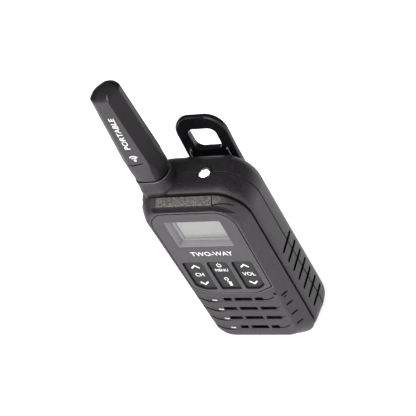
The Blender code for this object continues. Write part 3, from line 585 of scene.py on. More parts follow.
TAIL_SHORT = ((16.8, -0.5, 0.8, 0.0), (18.6, -0.35, 0.6, 0.0), (20.2, 0.1, 0.4, 0.0), (21.3, 0.6, 0.15, 0.0))
MICROPHONE = (22.1, 38.3)
GRIP_COUNT = 7
GRIP_TOP = 55.2
GRIP_PITCH = 6.8
GRIP_FRONT = 12.0
GRIP_LENGTH = 13.8
GRIP_RISE = 1.6
SIDE_SLOPE = 1.25


def louvre_cutter(height):
    """One grille groove: a square upper lip, a shallow floor and a small step out at the foot."""
    rings = []
    for x, upper, lower, floor in LOUVRE_PATH:
        top, foot = height + upper, height + lower
        profile = [(-1.6, top), (floor, top - 0.02), (floor * 0.55, foot + 0.5)]
        profile += [(-0.02, foot - 0.3), (-1.6, foot - 0.5)]
        rings.append([(x, depth_y(depth), z) for depth, z in profile])
    return loft("louvre", rings)


def sloped(outside, inside, half, middle, fallen=0.0):
    """Section of a cut that runs down as it goes in."""
    corners = ((outside, half), (inside, half), (inside, -half), (outside, -half))
    return [(depth_y(fallen + depth), middle + z - SLOT_SLOPE * depth) for depth, z in corners]


def line_cutter(path, height):
    """A narrow dark groove along a path in the face."""
    rings = []
    for x, rise, width, fallen in path:
        section = sloped(-1.6, 1.2, 0.5 * width, height + rise, fallen)
        rings.append([(x, y, z) for y, z in section])
    return loft("line", rings)


def tick_cutter(start, front, back, width):
    """A short groove in the bevelled right edge, between two places given by depth and height."""
    lower = [(depth_y(front[0]), front[1]), (depth_y(back[0]), back[1])]
    outline = lower + [(y, z + width) for y, z in reversed(lower)]
    return prism("tick", "X", outline, start, 31.0)


def slot_spans(widths):
    """Left and right ends of a row's three slots."""
    middle = widths[1] / 2
    left_end = SLOT_CENTRE - middle - SLOT_GAP
    right_start = SLOT_CENTRE + middle + SLOT_GAP
    return [(left_end - widths[0], left_end), (SLOT_CENTRE - middle, SLOT_CENTRE + middle),
            (right_start, right_start + widths[2])]


def panel_outline(grow=0.0):
    half_top = node_half("face_panel").x + grow
    half_bottom = half_top - 0.7
    top = PANEL_TOP + grow
    bottom = PANEL_BOTTOM - grow
    radius = 9.6 + grow
    points = arc((half_top - radius, top - radius), radius, 0, 90, CORNER_STEPS)
    points += arc((radius - half_top, top - radius), radius, 90, 180, CORNER_STEPS)
    lower = [(-half_bottom, bottom + 6.0), (-half_bottom, bottom + 4.6), (9.9 - half_bottom, bottom)]
    lower += [(half_bottom - 9.9, bottom), (half_bottom, bottom + 4.6), (half_bottom, bottom + 6.0)]
    return points + soft_polygon(lower, [0.01, 1.6, 2.2, 2.2, 1.6, 0.01], 4)


def key_outline(node, grow=0.0):
    """A key's outline: the outer keys lose their outer lower corner."""
    centre = node_centre(node)
    half = node_half(node)
    side = KEY_SIDES[node]
    x, z = half.x + grow, half.z + grow
    cut_x, cut_z = KEY_CORNER_CUT
    corners = [(x, z), (-x, z)]
    ease = [2.2, 2.2]
    if side < 0:
        corners += [(-x, cut_z - z), (cut_x - x, -z), (x, -z)]
        ease += [1.4, 1.4, 1.2]
    elif side > 0:
        corners += [(-x, -z), (x - cut_x, -z), (x, cut_z - z)]
        ease += [1.2, 1.4, 1.4]
    else:
        corners += [(-x, -z), (x, -z)]
        ease += [1.2, 1.2]
    return [(centre.x + a, centre.z + b) for a, b in soft_polygon(corners, ease, 4)]


def build_front_shell():
    shell = loft("front_shell", [body_section(*row) for row in FRONT_ROWS + FRONT_INSIDE])
    front, inside = depth_y(-CUT), depth_y(4.2)
    window = rounded_box(*WINDOW_HALF, 0.8, (WINDOW_X, WINDOW.z))
    outlines = [(panel_outline(0.95), depth_y(0.35)), (panel_outline(0.42), depth_y(1.4)), (window, inside)]
    outlines += [(key_outline(node, SLIT), inside) for node in KEY_SIDES]
    cutters = [prism("opening", "Y", outline, front, back) for outline, back in outlines]
    for row, height in enumerate(ROW_HEIGHTS):
        long_row = row in (1, 2)
        cutters.append(louvre_cutter(height))
        cutters.append(line_cutter(EDGE_PATH, height))
        cutters.append(line_cutter(TAIL_SHORT if long_row else TAIL_LONG, height))
        slot = sloped(-0.8, 4.6, SLOT_HALF, height - SLOT_DROP)
        for low, high in slot_spans(SLOTS_LONG if long_row else SLOTS_SHORT):
            cutters.append(prism("slot", "X", slot, low, high))
        cutters.append(tick_cutter(23.3, (1.0, height - 0.1), (4.0, height + 0.15), 1.2))
    cutters.append(tick_cutter(23.9, (1.6, 33.4), (3.0, 33.5), 0.8))
    cutters.append(prism("microphone", "Y", circle(0.95, MICROPHONE, 24), front, inside))
    cutters.append(crown_recess())
    combine(shell, cutters)
    dress(shell, "front", "radio", "front_housing", 0.12)
    # A raised lip round the panel; its lighter satin colour is a painted highlight along the lip.
    steps = ((0.93, 0.5), (0.93, 0.12), (0.8, 0.0), (0.6, 0.0), (0.42, 0.12), (0.42, 0.5))
    layers = [(panel_outline(grow), depth_y(depth)) for grow, depth in steps]
    dress(stack("panel_rim", "Y", layers, True), "painted_highlight")


def build_grille_glints():
    """Small polished steel pieces at the left end of each slot row: a painted highlight standing in for the
    glint where each groove curls under.
    """
    for row, (x, height) in enumerate(zip((-14.6, -14.1, -14.1, -13.8), ROW_HEIGHTS)):
        layers = []
        for level, size in ((0.6, 1.0), (0.2, 1.0), (0.08, 0.85), (0.0, 0.45)):
            outline = rounded_box(1.5 * size, 0.5 * size, 0.45 * size)
            layers.append(([(x + a, height - 1.45 + b - 0.12 * a) for a, b in outline], depth_y(level)))
        dress(stack("grille_glint_" + str(row + 1), "Y", layers), "steel")


def crown_recess():
    """The dark step between the face and the top insert."""
    corners = ((-0.5, 100.15), (0.3, 100.1), (2.55, 100.25), (2.62, 102.6), (-0.5, 102.6))
    profile = [(depth_y(depth), z) for depth, z in corners]
    rings = []
    corner_x, corner_z = CROWN_CORNER
    for x, lift in ((-20.0, 1.2), (-18.6, 0.0), (9.5, 0.0), (corner_x, 0.1)):
        rings.append([(x, y, z + lift) for y, z in profile])
    for step in range(1, 8):
        angle = math.radians(8 * step)
        ring = []
        for y, z in profile:
            outer = z + 0.1 if z > 102 else max(z, 100.25 + 0.045 * step * step)
            reach = outer - corner_z
            ring.append((corner_x + reach * math.sin(angle), y, corner_z + reach * math.cos(angle)))
        rings.append(ring)
    return loft("crown_recess", rings)


def front_skin(depth, share):
    """A point on the front housing's upper skin: share 0 to 1 is the straight top, above 1 the corner."""
    for here, after in zip(FRONT_ROWS, FRONT_ROWS[1:]):
        if here[0] <= depth <= after[0]:
            t = (depth - here[0]) / (after[0] - here[0])
            break
    half, _, top, _, corner, _ = (a + (b - a) * t for a, b in zip(here[1:], after[1:]))
    if share <= 1:
        return Vector((BOSS_X + (half - corner - BOSS_X) * share, top)), Vector((0.0, 1.0))
    angle = math.radians(90 - 90 * (share - 1))
    away = Vector((math.cos(angle), math.sin(angle)))
    return Vector((half - corner, top - corner)) + away * corner, away


def crown_piece(name, shares, finish, starts, stop=6.85, lift=0.22):
    """A strip lying on the top bevel of the front housing; starts are the front depths of its ends."""
    rings = []
    for i, share in enumerate(shares):
        start = starts[0] + (starts[1] - starts[0]) * i / (len(shares) - 1)
        end = start + 0.5 if stop is None else stop
        span = end - start
        ring = []
        levels = [(start, 0.0), (start + 0.04 * span, 0.7), (start + 0.1 * span, 1.0)]
        levels += [(start + 0.4 * span, 1.05), (start + 0.7 * span, 1.05)]
        levels += [(end - 0.06 * span, 0.9), (end - 0.02 * span, 0.5), (end, 0.0)]
        for depth, rise in levels:
            point, away = front_skin(depth, share)
            point = point + away * lift * rise
            ring.append((point.x, depth_y(depth), point.y))
        for depth in (end, start):
            point, away = front_skin(depth, share)
            point = point - away * 0.5
            ring.append((point.x, depth_y(depth), point.y))
        rings.append(ring)
    dress(loft(name, rings), finish)


def build_crown_insert():
    """Grained strip along the straight top bevel, a second length round the corner, and its dark edge, a
    strip of painted shade along the step below the wrap.
    """
    crown_piece("crown_insert", [i / 24 for i in range(25)], "crown", (2.7, 2.7))
    wrap = [1.02 + 0.5 * i / 20 for i in range(21)]
    crown_piece("crown_wrap", wrap, "crown_end", (2.9, 5.2), lift=0.12)
    # The dark edge is painted shade where the wrap steps down to the face.
    crown_piece("crown_edge_shade", wrap, "seal", (2.45, 4.75), None, 0.1)
    crown_piece("crown_joint", [1.003, 1.01, 1.017], "seal", (2.6, 2.7), lift=0.1)


def grip_cutters(side, first):
    """Slanted grip slots of even width that run down as they go in."""
    cutters = []
    front = depth_y(GRIP_FRONT)
    for index in range(first, GRIP_COUNT):
        rings = []
        for along, size in ((0.0, 0.5), (0.05, 0.9), (0.3, 1.0), (0.8, 1.0), (0.96, 0.9), (1.0, 0.5)):
            y = front + GRIP_LENGTH * along
            z = GRIP_TOP - index * GRIP_PITCH + GRIP_RISE * along
            ring = []
            for x, half in ((32.5, -0.98), (28.7, -0.92), (28.7, 0.92), (32.5, 0.98)):
                ring.append((side * x, y, z + SIDE_SLOPE * (x - 30.2) + half * size))
            rings.append(ring)
        cutters.append(loft("grip", rings))
    return cutters


def boss_outline(grow):
    """Antenna boss: it flares forward and to the right, and stays flush with the radio's left side."""
    points = []
    for x, y in rounded_box(*BOSS_HALF, 6.3, (0.0, 0.0), 12):
        away = Vector((x / BOSS_HALF[0], y / BOSS_HALF[1])).normalized()
        front = max(0.0, -away.y)
        side = max(0.0, away.x)
        share = min(1.0, front ** 0.8 + 0.22 * side)
        share *= min(1.0, max(0.0, (away.x + 0.98) / 0.7))
        points.append((BOSS_X + x + away.x * grow * share, BOSS_Y + y + away.y * grow * share))
    return points


def build_rear_shell():
    rows = smooth_rows(REAR_ROWS, 3) + smooth_rows(REAR_LIP_ROWS, 1)
    shell = loft("rear_shell", [body_section(*row) for row in rows + REAR_INSIDE])
    flare = [(95.0, 0.3), (105.6, 1.5), (106.6, 1.4), (106.9, 1.25), (107.4, 0.85), (108.2, 0.5)]
    flare += [(109.6, 0.2), (111.0, 0.05), (111.9, 0.0), (112.2, -0.08), (112.42, -0.3), (112.5, -0.7)]
    boss = loft("boss", [place("Z", boss_outline(grow), z) for z, grow in flare])
    combine(shell, [boss], "UNION")
    cutters = grip_cutters(1, 0) + grip_cutters(-1, 3)
    cutters.append(prism("socket", "Z", circle(3.7, (RING.x, RING.y)), 94.0, BOSS_TOP + CUT))
    cutters.append(prism("torch", "Z", circle(4.1, (TORCH.x, TORCH.y)), 100.0, 108.5))
    for node, radius in (("ptt_button", 3.0), ("port_cover", 1.6)):
        centre, half = node_centre(node), node_half(node)
        pocket = rounded_box(half.y + SLIT, half.z + SLIT, radius, (centre.y, centre.z))
        cutters.append(prism("pocket", "X", pocket, -34.0, -25.0))
    back = depth_y(BACK_DEPTH + CUT)
    opening = rectangle(DOOR_HALF + SLIT, -CUT, DOOR_HIGH.z + SLIT)
    cutters.append(prism("door", "Y", opening, DOOR_LOW.y + 0.5, back))
    latch = node_half("door_latch")
    pocket = rounded_box(latch.x + SLIT, latch.z + 1.0, 0.8, (LATCH.x, LATCH.z + 0.7))
    cutters.append(prism("latch", "Y", pocket, depth_y(BACK_DEPTH - 3.0), back))
    combine(shell, cutters)
    dress(shell, "housing", "radio", "rear_housing", 0.15)
    shell.data.materials.append(FINISH["crease"])
    shell.data.materials.append(FINISH["lip_highlight"])
    for polygon in shell.data.polygons:
        centre = polygon.center / MM
        # Faces round the boss's upper lip take a lighter, glossier film: a painted highlight round the lip.
        if 112.2 < centre.z < 112.46 and polygon.normal.z < 0.9:
            polygon.material_index = 2
        # Faces in the fine groove take the darker crease material: painted shade in the crease.
        in_groove = CREASE_DEPTH - 0.31 < centre.y - FACE_Y < CREASE_DEPTH + 0.46
        if in_groove and centre.z < 107.05 and polygon.area < 60 * MM * MM:
            polygon.material_index = 1


# ---------------------------------------------------------------- face
def build_seam():
    """Dark band that closes the groove between the housings."""
    outer = (28.1, 28.1, 103.2, 0.9, 14.6, 9.6)
    lipped = (27.9, 27.9, 103.0, 1.1, 14.4, 9.4)
    inner = (26.5, 26.5, 101.7, 2.3, 13.2, 8.2)
    front, back = SEAM
    rows = [(front, outer), (front + 0.3, outer), (front + 0.5, lipped), (back - 0.5, lipped)]
    rows += [(back - 0.3, outer), (back, outer), (back, inner), (front, inner)]
    band = loft("seam_band", [body_section(depth, *sizes) for depth, sizes in rows], looped=True)
    dress(band, "seal", "radio", "housing_seal")


def build_inlay():
    low, high = depth_y(0.0), PANEL_HIGH.y
    inlay = prism("face_inlay", "Y", panel_outline(-0.15), low, high)
    outlines = [rounded_box(*WINDOW_HALF, 0.8, (WINDOW_X, WINDOW.z))]
    outlines += [key_outline(node, SLIT) for node in KEY_SIDES]
    combine(inlay, [prism("opening", "Y", outline, low - CUT, high + CUT) for outline in outlines])
    dress(inlay, "inlay", "radio", "face_panel", 0.16, 3)


def build_display():
    """Pale stepped surround and the grey cell behind it."""
    centre = (WINDOW_X, WINDOW.z)
    half_x, half_z = WINDOW_HALF
    outer = rounded_box(half_x - 0.04, half_z - 0.04, 0.7, centre)
    inner = rounded_box(half_x - 0.3, half_z - 0.3, 0.5, centre)
    step = rounded_box(half_x - 1.5, half_z - 1.2, 0.5, centre)
    cell = rounded_box(half_x - 3.2, half_z - 2.5, 0.4, centre)
    steps = ((outer, 0.2), (inner, 0.2), (step, 3.0), (step, 3.5), (cell, 3.75), (cell, 4.2), (outer, 4.2))
    layers = [(outline, depth_y(depth)) for outline, depth in steps]
    dress(stack("display_surround", "Y", layers, True), "surround")
    half = node_half("display_window")
    plate = prism("display_cell", "Y", rounded_box(half.x, half.z, 1.0, centre), depth_y(4.1), depth_y(5.0))
    dress(plate, "display", "radio", "display_window", 0.05, 1)


def ribbon(points, width, y, thick):
    """A flat printed stroke through points in the face's plane."""
    rings = []
    for i, point in enumerate(points):
        here = Vector(point)
        before = Vector(points[max(i - 1, 0)])
        after = Vector(points[min(i + 1, len(points) - 1)])
        first = (here - before) if i else (after - here)
        second = (after - here) if i < len(points) - 1 else (here - before)
        along = (first.normalized() + second.normalized()).normalized()
        across = Vector((-along.y, along.x))
        bend = max(0.5, across.dot(Vector((-first.y, first.x)).normalized()))
        side = across * (width / 2 / bend)
        a, b = here + side, here - side
        rings.append([(a.x, y - thick, a.y), (b.x, y - thick, b.y), (b.x, y, b.y), (a.x, y, a.y)])
    return loft("stroke", rings)


def lettering(text, size, x, z, y, spin=0.0, thick=0.03, stretch=1.0):
    """Raised print facing the front, centred at (x, z)."""
    curve = bpy.data.curves.new("lettering", "FONT")
    curve.body = text
    curve.size = size * MM
    curve.align_x = "CENTER"
    curve.align_y = "CENTER"
    curve.extrude = thick * MM
    curve.offset = size * 0.004 * MM
    curve.resolution_u = 3
    holder = linked("lettering", curve)
    turn = Matrix.Rotation(math.radians(90), 4, "X") @ Matrix.Rotation(spin, 4, "Z")
    scale = Matrix.Diagonal((stretch, 1, 1, 1))
    holder.matrix_world = Matrix.Translation(Vector((x, y, z)) * MM) @ turn @ scale
    graph = bpy.context.evaluated_depsgraph_get()
    mesh = bpy.data.meshes.new_from_object(holder.evaluated_get(graph))
    made = linked("lettering", mesh)
    made.matrix_world = holder.matrix_world.copy()
    bpy.data.objects.remove(holder, do_unlink=True)
    return made


def chevron(x, z, up, y):
    """An arrow head of two strokes."""
    rise = 0.95 if up else -0.95
    return ribbon([(x - 2.2, z - rise), (x, z + rise), (x + 2.2, z - rise)], 0.85, y, 0.04)


def key_icons(node, y):
    """White legends of one key."""
    centre = node_centre(node)
    if node != "menu_key":
        word = "CH" if node == "channel_key" else "VOL"
        return [chevron(centre.x, centre.z + 6.4, True, y), chevron(centre.x, centre.z - 6.2, False, y),
                lettering(word, 3.7, centre.x, centre.z + 0.2, y)]
    marks = []

    def stroke(width, *points):
        marks.append(ribbon([(centre.x + a, centre.z + b) for a, b in points], width, y, 0.04))

    stroke(0.42, *arc((0.0, 7.1), 1.15, 125, 415, 16))
    stroke(0.42, (0.0, 7.35), (0.0, 8.85))
    marks.append(lettering("MENU", 2.75, centre.x, centre.z + 3.4, y))
    stroke(0.42, *arc((-0.3, -3.2), 0.95, -60, 240, 14))
    stroke(0.5, (-0.3, -4.1), (-0.3, -6.1))
    stroke(0.42, (-0.3, -5.2), (0.6, -5.2))
    stroke(1.5, (0.5, -6.2), (0.5, -8.4))
    stroke(0.5, (-0.6, -5.7), (1.6, -5.7))
    return marks


def build_keys():
    for node in KEY_SIDES:
        low, high = node_box(node)
        levels = ((0.0, -0.75), (0.06, -0.4), (0.28, -0.12), (0.6, 0.0), (high.y - low.y, 0.0))
        layers = [(key_outline(node, grow), low.y + level) for level, grow in levels]
        dress(stack(node + "_cap", "Y", layers), "keys", node, node)
        dress(join(node + "_legend", key_icons(node, low.y - 0.005)), "print", node)
    words = lettering("TWO-WAY", 4.15, 0.2, PANEL_TOP - 29.6, depth_y(-0.01), stretch=1.12)
    dress(join("face_lettering", [words]), "print")


# ---------------------------------------------------------------- top
def torch_lobes(radius, wobble):
    """An uneven round about the torch; wobble gives the size at each angle."""
    points = []
    for x, y in circle(radius):
        size = wobble(math.atan2(y, x))
        points.append((TORCH.x - 0.5 + x * size, TORCH.y + 0.1 + y * size))
    return points


def cup_wobble(angle):
    return 0.9 + 0.07 * math.sin(5 * angle + 0.7) + 0.09 * math.sin(9 * angle)


def dome_wobble(angle):
    return 1.1 - 0.3 * abs(math.sin(2.5 * angle + 0.5)) + 0.05 * math.sin(9 * angle + 1.0)


def build_torch():
    """Deep dark bezel, a faceted cup that glows with painted light from the lamp, and the lit dome in it."""
    low, high = node_box("torch_bezel")
    profile = [(3.75, low.z), (3.75, high.z - 0.1), (3.6, high.z), (3.3, high.z - 0.05), (3.15, high.z - 0.7)]
    profile += [(1.9, low.z + 0.5), (1.9, low.z)]
    layers = [(circle(radius, (TORCH.x, TORCH.y)), z) for radius, z in profile]
    dress(stack("torch_bezel_ring", "Z", layers, True), "gloss", "radio", "torch_bezel")
    cup = ((1.7, low.z + 0.9), (1.8, low.z + 1.2), (2.9, high.z - 1.1), (2.95, high.z - 0.85))
    layers = [(torch_lobes(radius, cup_wobble), z) for radius, z in cup]
    dress(stack("torch_cup", "Z", layers), "flare")
    layers = [(circle(2.3, (TORCH.x, TORCH.y)), high.z - 0.9)]
    for step in range(9):
        angle = math.radians(90 * step / 9)
        rise = 1.35 * math.sin(angle) - 0.85
        layers.append((torch_lobes(2.3 * math.cos(angle), dome_wobble), high.z + rise))
    dress(stack("torch_dome", "Z", layers), "glow", "radio", "torch_lens")


def antenna_half(share):
    """Half sizes of the antenna's section; share is 0 at the foot and 1 at the tip."""
    return 9.25 - 1.85 * share, 7.3 - 1.4 * share


def antenna_section(share):
    """Corners of the antenna's section and their easing."""
    half_x, half_y = antenna_half(share)
    facet_left = -half_x * 0.6
    facet_right = half_x * (0.44 + 0.3 * (1 - share))
    corners = [(facet_right, -half_y), (half_x, half_y * 0.05), (half_x * 0.94, half_y * 0.6),
               (half_x * 0.45, half_y), (-half_x * 0.3, half_y), (-half_x * 0.97, half_y * 0.15),
               (-half_x, 2.2 - half_y), (facet_left, -half_y)]
    faceting = min(1.0, max(0.0, (share - 0.1) / 0.12))
    sharp = 5.2 * (1 - faceting) + 0.6 * faceting
    soft = 3.0 * (1 - faceting) + 2.6 * faceting
    return corners, [sharp, sharp, sharp, soft, soft, soft, sharp, sharp]


def antenna_point(share, x, y):
    """Place a point of the section on the leaning axis."""
    return RING.x + 0.3 + (ANTENNA_LEAN - 0.3) * share + x, RING.y + y


def build_antenna():
    """Round at its foot, faceted above the slit, and hipped at the tip."""
    low = ANTENNA_LOW.z - 0.25
    height = ANTENNA_HIGH.z - low
    rings = []
    levels = [(0.0, 0.80), (0.004, 0.835), (0.012, 0.855), (0.035, 0.885), (0.07, 0.93), (0.11, 0.97)]
    levels += [(0.15, 0.99)] + [(share, 1.0) for share in (0.19, 0.23, 0.27, 0.4, 0.6, 0.8, 0.9)]
    for share, size in levels:
        foot = max(0.0, 1 - share / 0.2)
        size_y = min(1.0, size + 0.14 * foot)
        size_right = min(1.0, size + 0.15 * foot) + 0.1 * min(1.0, share / 0.1) * (1 - share)
        ring = []
        for x, y in soft_polygon(*antenna_section(share), 6):
            left, back = antenna_point(share, x * (size_right if x > 0 else size), y * size_y)
            ring.append((left, back, low + height * share))
        rings.append(ring)
    share = 0.925
    shoulder = ANTENNA_HIGH.z - 4.4
    outline = soft_polygon(*antenna_section(share), 6)
    hip_x, hip_y, depth = 1.6, 3.4, 6.0
    cap = ((1.0, 0.0), (0.975, 0.12), (0.93, 0.26), (0.75, 0.5), (0.5, 0.74), (0.25, 0.93), (0.04, 1.0))
    for narrow, rise in cap:
        ring = []
        for x, y in outline:
            slanted = shoulder + 0.2 * (y + depth)
            z = slanted + (ANTENNA_HIGH.z - slanted) * rise
            left, back = antenna_point(share, hip_x + (x - hip_x) * narrow, hip_y + (y - hip_y) * narrow)
            ring.append((left, back, z))
        rings.append(ring)
    sleeve = loft("antenna_sleeve", rings)
    slit_z = ANTENNA_LOW.z + 11.3
    slit = [(-5.4, slit_z + 0.3), (-2.4, slit_z - 0.15), (3.6, slit_z + 1.0), (3.6, slit_z + 1.5)]
    slit += [(-2.4, slit_z + 0.75), (-5.4, slit_z + 0.75)]
    outline = [(RING.x + x, z) for x, z in slit]
    combine(sleeve, [prism("slit", "Y", outline, RING.y - 9.0, RING.y - 6.3)])
    dress(sleeve, "antenna", "radio", "antenna_cover", 0.18, 2, 26.0)
    sleeve.data.materials.append(FINISH["antenna_shaded_side"])
    # Faces turned to the right or upward take a darker copy of the rubber: painted shade on the antenna's far
    # side and tip.
    for polygon in sleeve.data.polygons:
        rightward = polygon.normal.x > 0.35 and polygon.normal.y < -0.05
        if rightward or polygon.normal.z > 0.3:
            polygon.material_index = 1
    # A thin bead up the tip's hip in the lighter satin: a painted highlight along the ridge.
    ridge = []
    for along, radius in ((0.0, 0.08), (0.12, 0.3), (0.35, 0.42), (0.7, 0.38), (0.92, 0.2), (1.0, 0.05)):
        left, back = antenna_point(share, 3.6 - 0.5 * along, 2.3 * along - 6.1)
        ridge.append(place("Z", circle(radius, (left, back), 16), shoulder + 0.4 + 2.2 * along))
    dress(loft("antenna_ridge_glint", ridge), "painted_highlight")
    marks = [facet_lettering("PORTABLE", 4.4, low, height, 0.565)]
    base = low + height * 0.285
    left, _ = antenna_point(0.285, 0.0, 0.0)
    front = facet_y(0.285) - 0.06
    marks.append(ribbon(arc((left, base - 1.4), 0.3, 0, 360, 16), 0.9, front, 0.05))
    for radius in (1.7, 2.9):
        marks.append(ribbon(arc((left, base - 1.4), radius, 40, 140, 12), 0.6, front, 0.05))
    dress(join("antenna_lettering", marks), "print")


def facet_y(share):
    """Where the antenna's front facet stands."""
    return RING.y - antenna_half(share)[1]


def facet_lettering(words, size, low, height, share):
    """Print that reads up the antenna's front facet, leaning back with it."""
    left, _ = antenna_point(share, -0.25, 0.0)
    made = lettering(words, size, left, low + height * share, facet_y(share) - 0.04, math.radians(90), 0.04)
    lean = math.atan2(1.4, height)
    sideways = math.atan2(ANTENNA_LEAN - 0.3, height)
    made.matrix_world = made.matrix_world @ Matrix.Rotation(lean, 4, "Y") @ Matrix.Rotation(-sideways, 4, "Z")
    return made


# ---------------------------------------------------------------- side pieces
def build_talk_button():
    low, high = node_box("ptt_button")
    half = node_half("ptt_button")
    levels = ((0.0, -1.7), (0.12, -1.2), (0.45, -0.7), (1.0, -0.15), (1.4, 0.0), (high.x - low.x, 0.0))
    layers = []
    for level, grow in levels:
        outline = rounded_box(half.y + grow, half.z + grow, 2.7 + grow * 0.5, (TALK.y, TALK.z), 10)
        layers.append((outline, low.x + level))
    button = stack("talk_button", "X", layers)
    ribs = [(2.3, 0.42, 0.4, (TALK.y, TALK.z + index * 2.2)) for index in range(-3, 4)]
    combine(button, bars("X", ribs, low.x - 0.5, low.x + 0.35))
    dress(button, "keys", "ptt_button", "ptt_button", 0.1)


def build_port_flap():
    low, high = node_box("port_cover")
    half = node_half("port_cover")
    layers = []
    for level, grow in ((0.0, -0.9), (0.12, -0.5), (0.5, 0.0), (high.x - low.x, 0.0)):
        layers.append((rounded_box(half.y + grow, half.z + grow, 1.3, (PORT.y, PORT.z)), low.x + level))
    flap = stack("port_flap", "X", layers)
    notch = rounded_box(1.8, 0.55, 0.5, (PORT.y, high.z - 1.1))
    combine(flap, [prism("notch", "X", notch, low.x - CUT, low.x + 0.5)])
    dress(flap, "keys", "port_cover", "port_cover", 0.08)


# ---------------------------------------------------------------- back
def build_battery_cover():
    """Door cut from the rear shell's own shape, with a wider flange inside and ribs over an arrow."""
    cover = loft("battery_cover", [body_section(*row) for row in smooth_rows(REAR_ROWS, 3)])
    back = depth_y(BACK_DEPTH)
    plate_low = DOOR_LOW.y + 0.8
    keep = rectangle(DOOR_HALF, DOOR_LOW.z, DOOR_HIGH.z)
    combine(cover, [prism("keep", "Y", keep, plate_low, depth_y(BACK_DEPTH + CUT))], "INTERSECT")
    flange = rectangle(node_half("battery_door").x, 24.0, 56.0)
    combine(cover, [prism("flange", "Y", flange, DOOR_LOW.y, plate_low + 0.02)], "UNION")
    ribs = [(9.0 - index * 1.3, 0.45, 0.42, (0.0, 33.0 - index * 1.9)) for index in range(5)]
    arrow = prism("arrow", "Y", [(-2.6, 22.4), (2.6, 22.4), (0.0, 19.6)], back - 0.35, back + CUT)
    combine(cover, bars("Y", ribs, back - 0.5, back + CUT) + [arrow])
    dress(cover, "housing", "battery_door", "battery_door", 0.12)


def build_latch():
    low, high = node_box("door_latch")
    half = node_half("door_latch")
    slider = prism("latch_slider", "Y", rounded_box(half.x, half.z, 0.7, (LATCH.x, LATCH.z)), low.y, high.y)
    grooves = [(half.x - 1.0, 0.28, 0.25, (LATCH.x, LATCH.z + index * 1.3)) for index in (-1, 0, 1)]
    combine(slider, bars("Y", grooves, high.y - 0.35, high.y + CUT))
    dress(slider, "keys", "door_latch", "door_latch", 0.1)


CLIP_INNER = PIN.y + 1.2         # the lever's front and back faces
CLIP_OUTER = CLIP_INNER + 3.1
CLIP_CORNER = 10.0
LOOP_HALF = (7.8, 6.75)
LOOP_Z = 107.55
EDGE_ROUND = ((1.0, 0.0), (0.65, 0.08), (0.34, 0.26), (0.12, 0.55), (0.0, 1.0))      # inset, depth


def clip_lean(z):
    """How far the thumb lever has leaned back at a height."""
    return math.tan(math.radians(4.0)) * max(0.0, z - PIN.z)


def clip_rings(half_x, half_z, radius, centre, flare):
    """Outlines through the clip's thickness; flare is 1 for the plate and -1 for an opening in it."""
    levels = [(inset, CLIP_INNER + depth) for inset, depth in EDGE_ROUND]
    levels += [(inset, CLIP_OUTER - depth) for inset, depth in reversed(EDGE_ROUND)]
    if flare < 0:
        levels = [(levels[0][0], CLIP_INNER - 3.0)] + levels + [(levels[0][0], CLIP_OUTER + 3.0)]
    rings = []
    for inset, y in levels:
        inset *= flare if flare > 0 else 0.3 * flare
        outline = rounded_box(half_x - inset, half_z - inset, radius - inset, centre, 20)
        rings.append([(x, y + clip_lean(z), z) for x, z in outline])
    return rings


def build_clip():
    half_x, half_z = node_half("belt_clip").x, (CLIP_HIGH.z - CLIP_LOW.z) / 2
    middle = node_centre("belt_clip").x
    plate = clip_rings(half_x, half_z, CLIP_CORNER, (middle, (CLIP_HIGH.z + CLIP_LOW.z) / 2), 1)
    clip = loft("belt_clip_lever", [refine_sides(ring) for ring in plate])
    foot = depth_y(BACK_DEPTH + 0.8)
    hook = [(CLIP_INNER + 1.0, CLIP_LOW.z + 0.4), (foot + 0.8, CLIP_LOW.z + 0.4), (foot, CLIP_LOW.z + 2.4),
            (CLIP_INNER + 0.2, CLIP_LOW.z + 6.6), (CLIP_INNER + 1.0, CLIP_LOW.z + 8.0)]
    hook_outline = soft_polygon(hook, [0.3, 1.0, 1.0, 2.0, 0.5], 5)
    tools = [prism("hook", "X", hook_outline, middle - half_x + 6.0, middle + half_x - 6.0)]

    def barrel(radius, x, half):
        """A round along the pin."""
        return prism("barrel", "X", circle(radius, (PIN.y, PIN.z), 32), x - half, x + half)

    tools += [barrel(2.3, middle + side * 5.4, 2.4) for side in (-1, 1)]
    combine(clip, tools, "UNION")
    cutters = [loft("loop", clip_rings(*LOOP_HALF, 3.6, (middle, LOOP_Z), -1)), barrel(1.31, middle, 20.0)]
    cutters += [barrel(2.8, middle + side * 9.2, 1.2) for side in (-1, 1)]
    combine(clip, cutters + [barrel(2.7, middle, 2.9)])
    grooves = [(8.0 - 0.6 * index, 0.4, 0.38, (middle, CLIP_LOW.z + 6.0 + index * 2.2)) for index in range(5)]
    combine(clip, bars("Y", grooves, CLIP_OUTER - 0.35, CLIP_OUTER + CUT, 6))
    dress(clip, "gloss", "belt_clip", "belt_clip", 0.0, 1, 50.0)
    ribs = []
    levels = ((96.5, 0.5, 0.9), (97.2, 0.85, 0.75), (100.6, 0.85, 1.0), (101.8, 0.7, 1.4), (102.4, 0.3, 1.8))
    for side in (-1, 1):
        layers = [(circle(radius, (middle + side * 10.4, PIN.y + y), 20), z) for z, radius, y in levels]
        ribs.append(stack("rib", "Z", layers))
    dress(join("clip_ribs", ribs), "gloss_bright", "belt_clip")


def build_clip_pad():
    """Low platform on the rear housing under the clip's bracket."""
    layers = []
    for depth, grow in ((32.0, 1.5), (36.2, 0.3), (36.6, -0.1), (36.8, -0.6)):
        layers.append((rounded_box(15.2 + grow, 13.4 + grow, 4.0, (0.0, 87.6)), depth_y(depth)))
    dress(stack("clip_pad", "Y", layers), "housing", bevel=0.1)


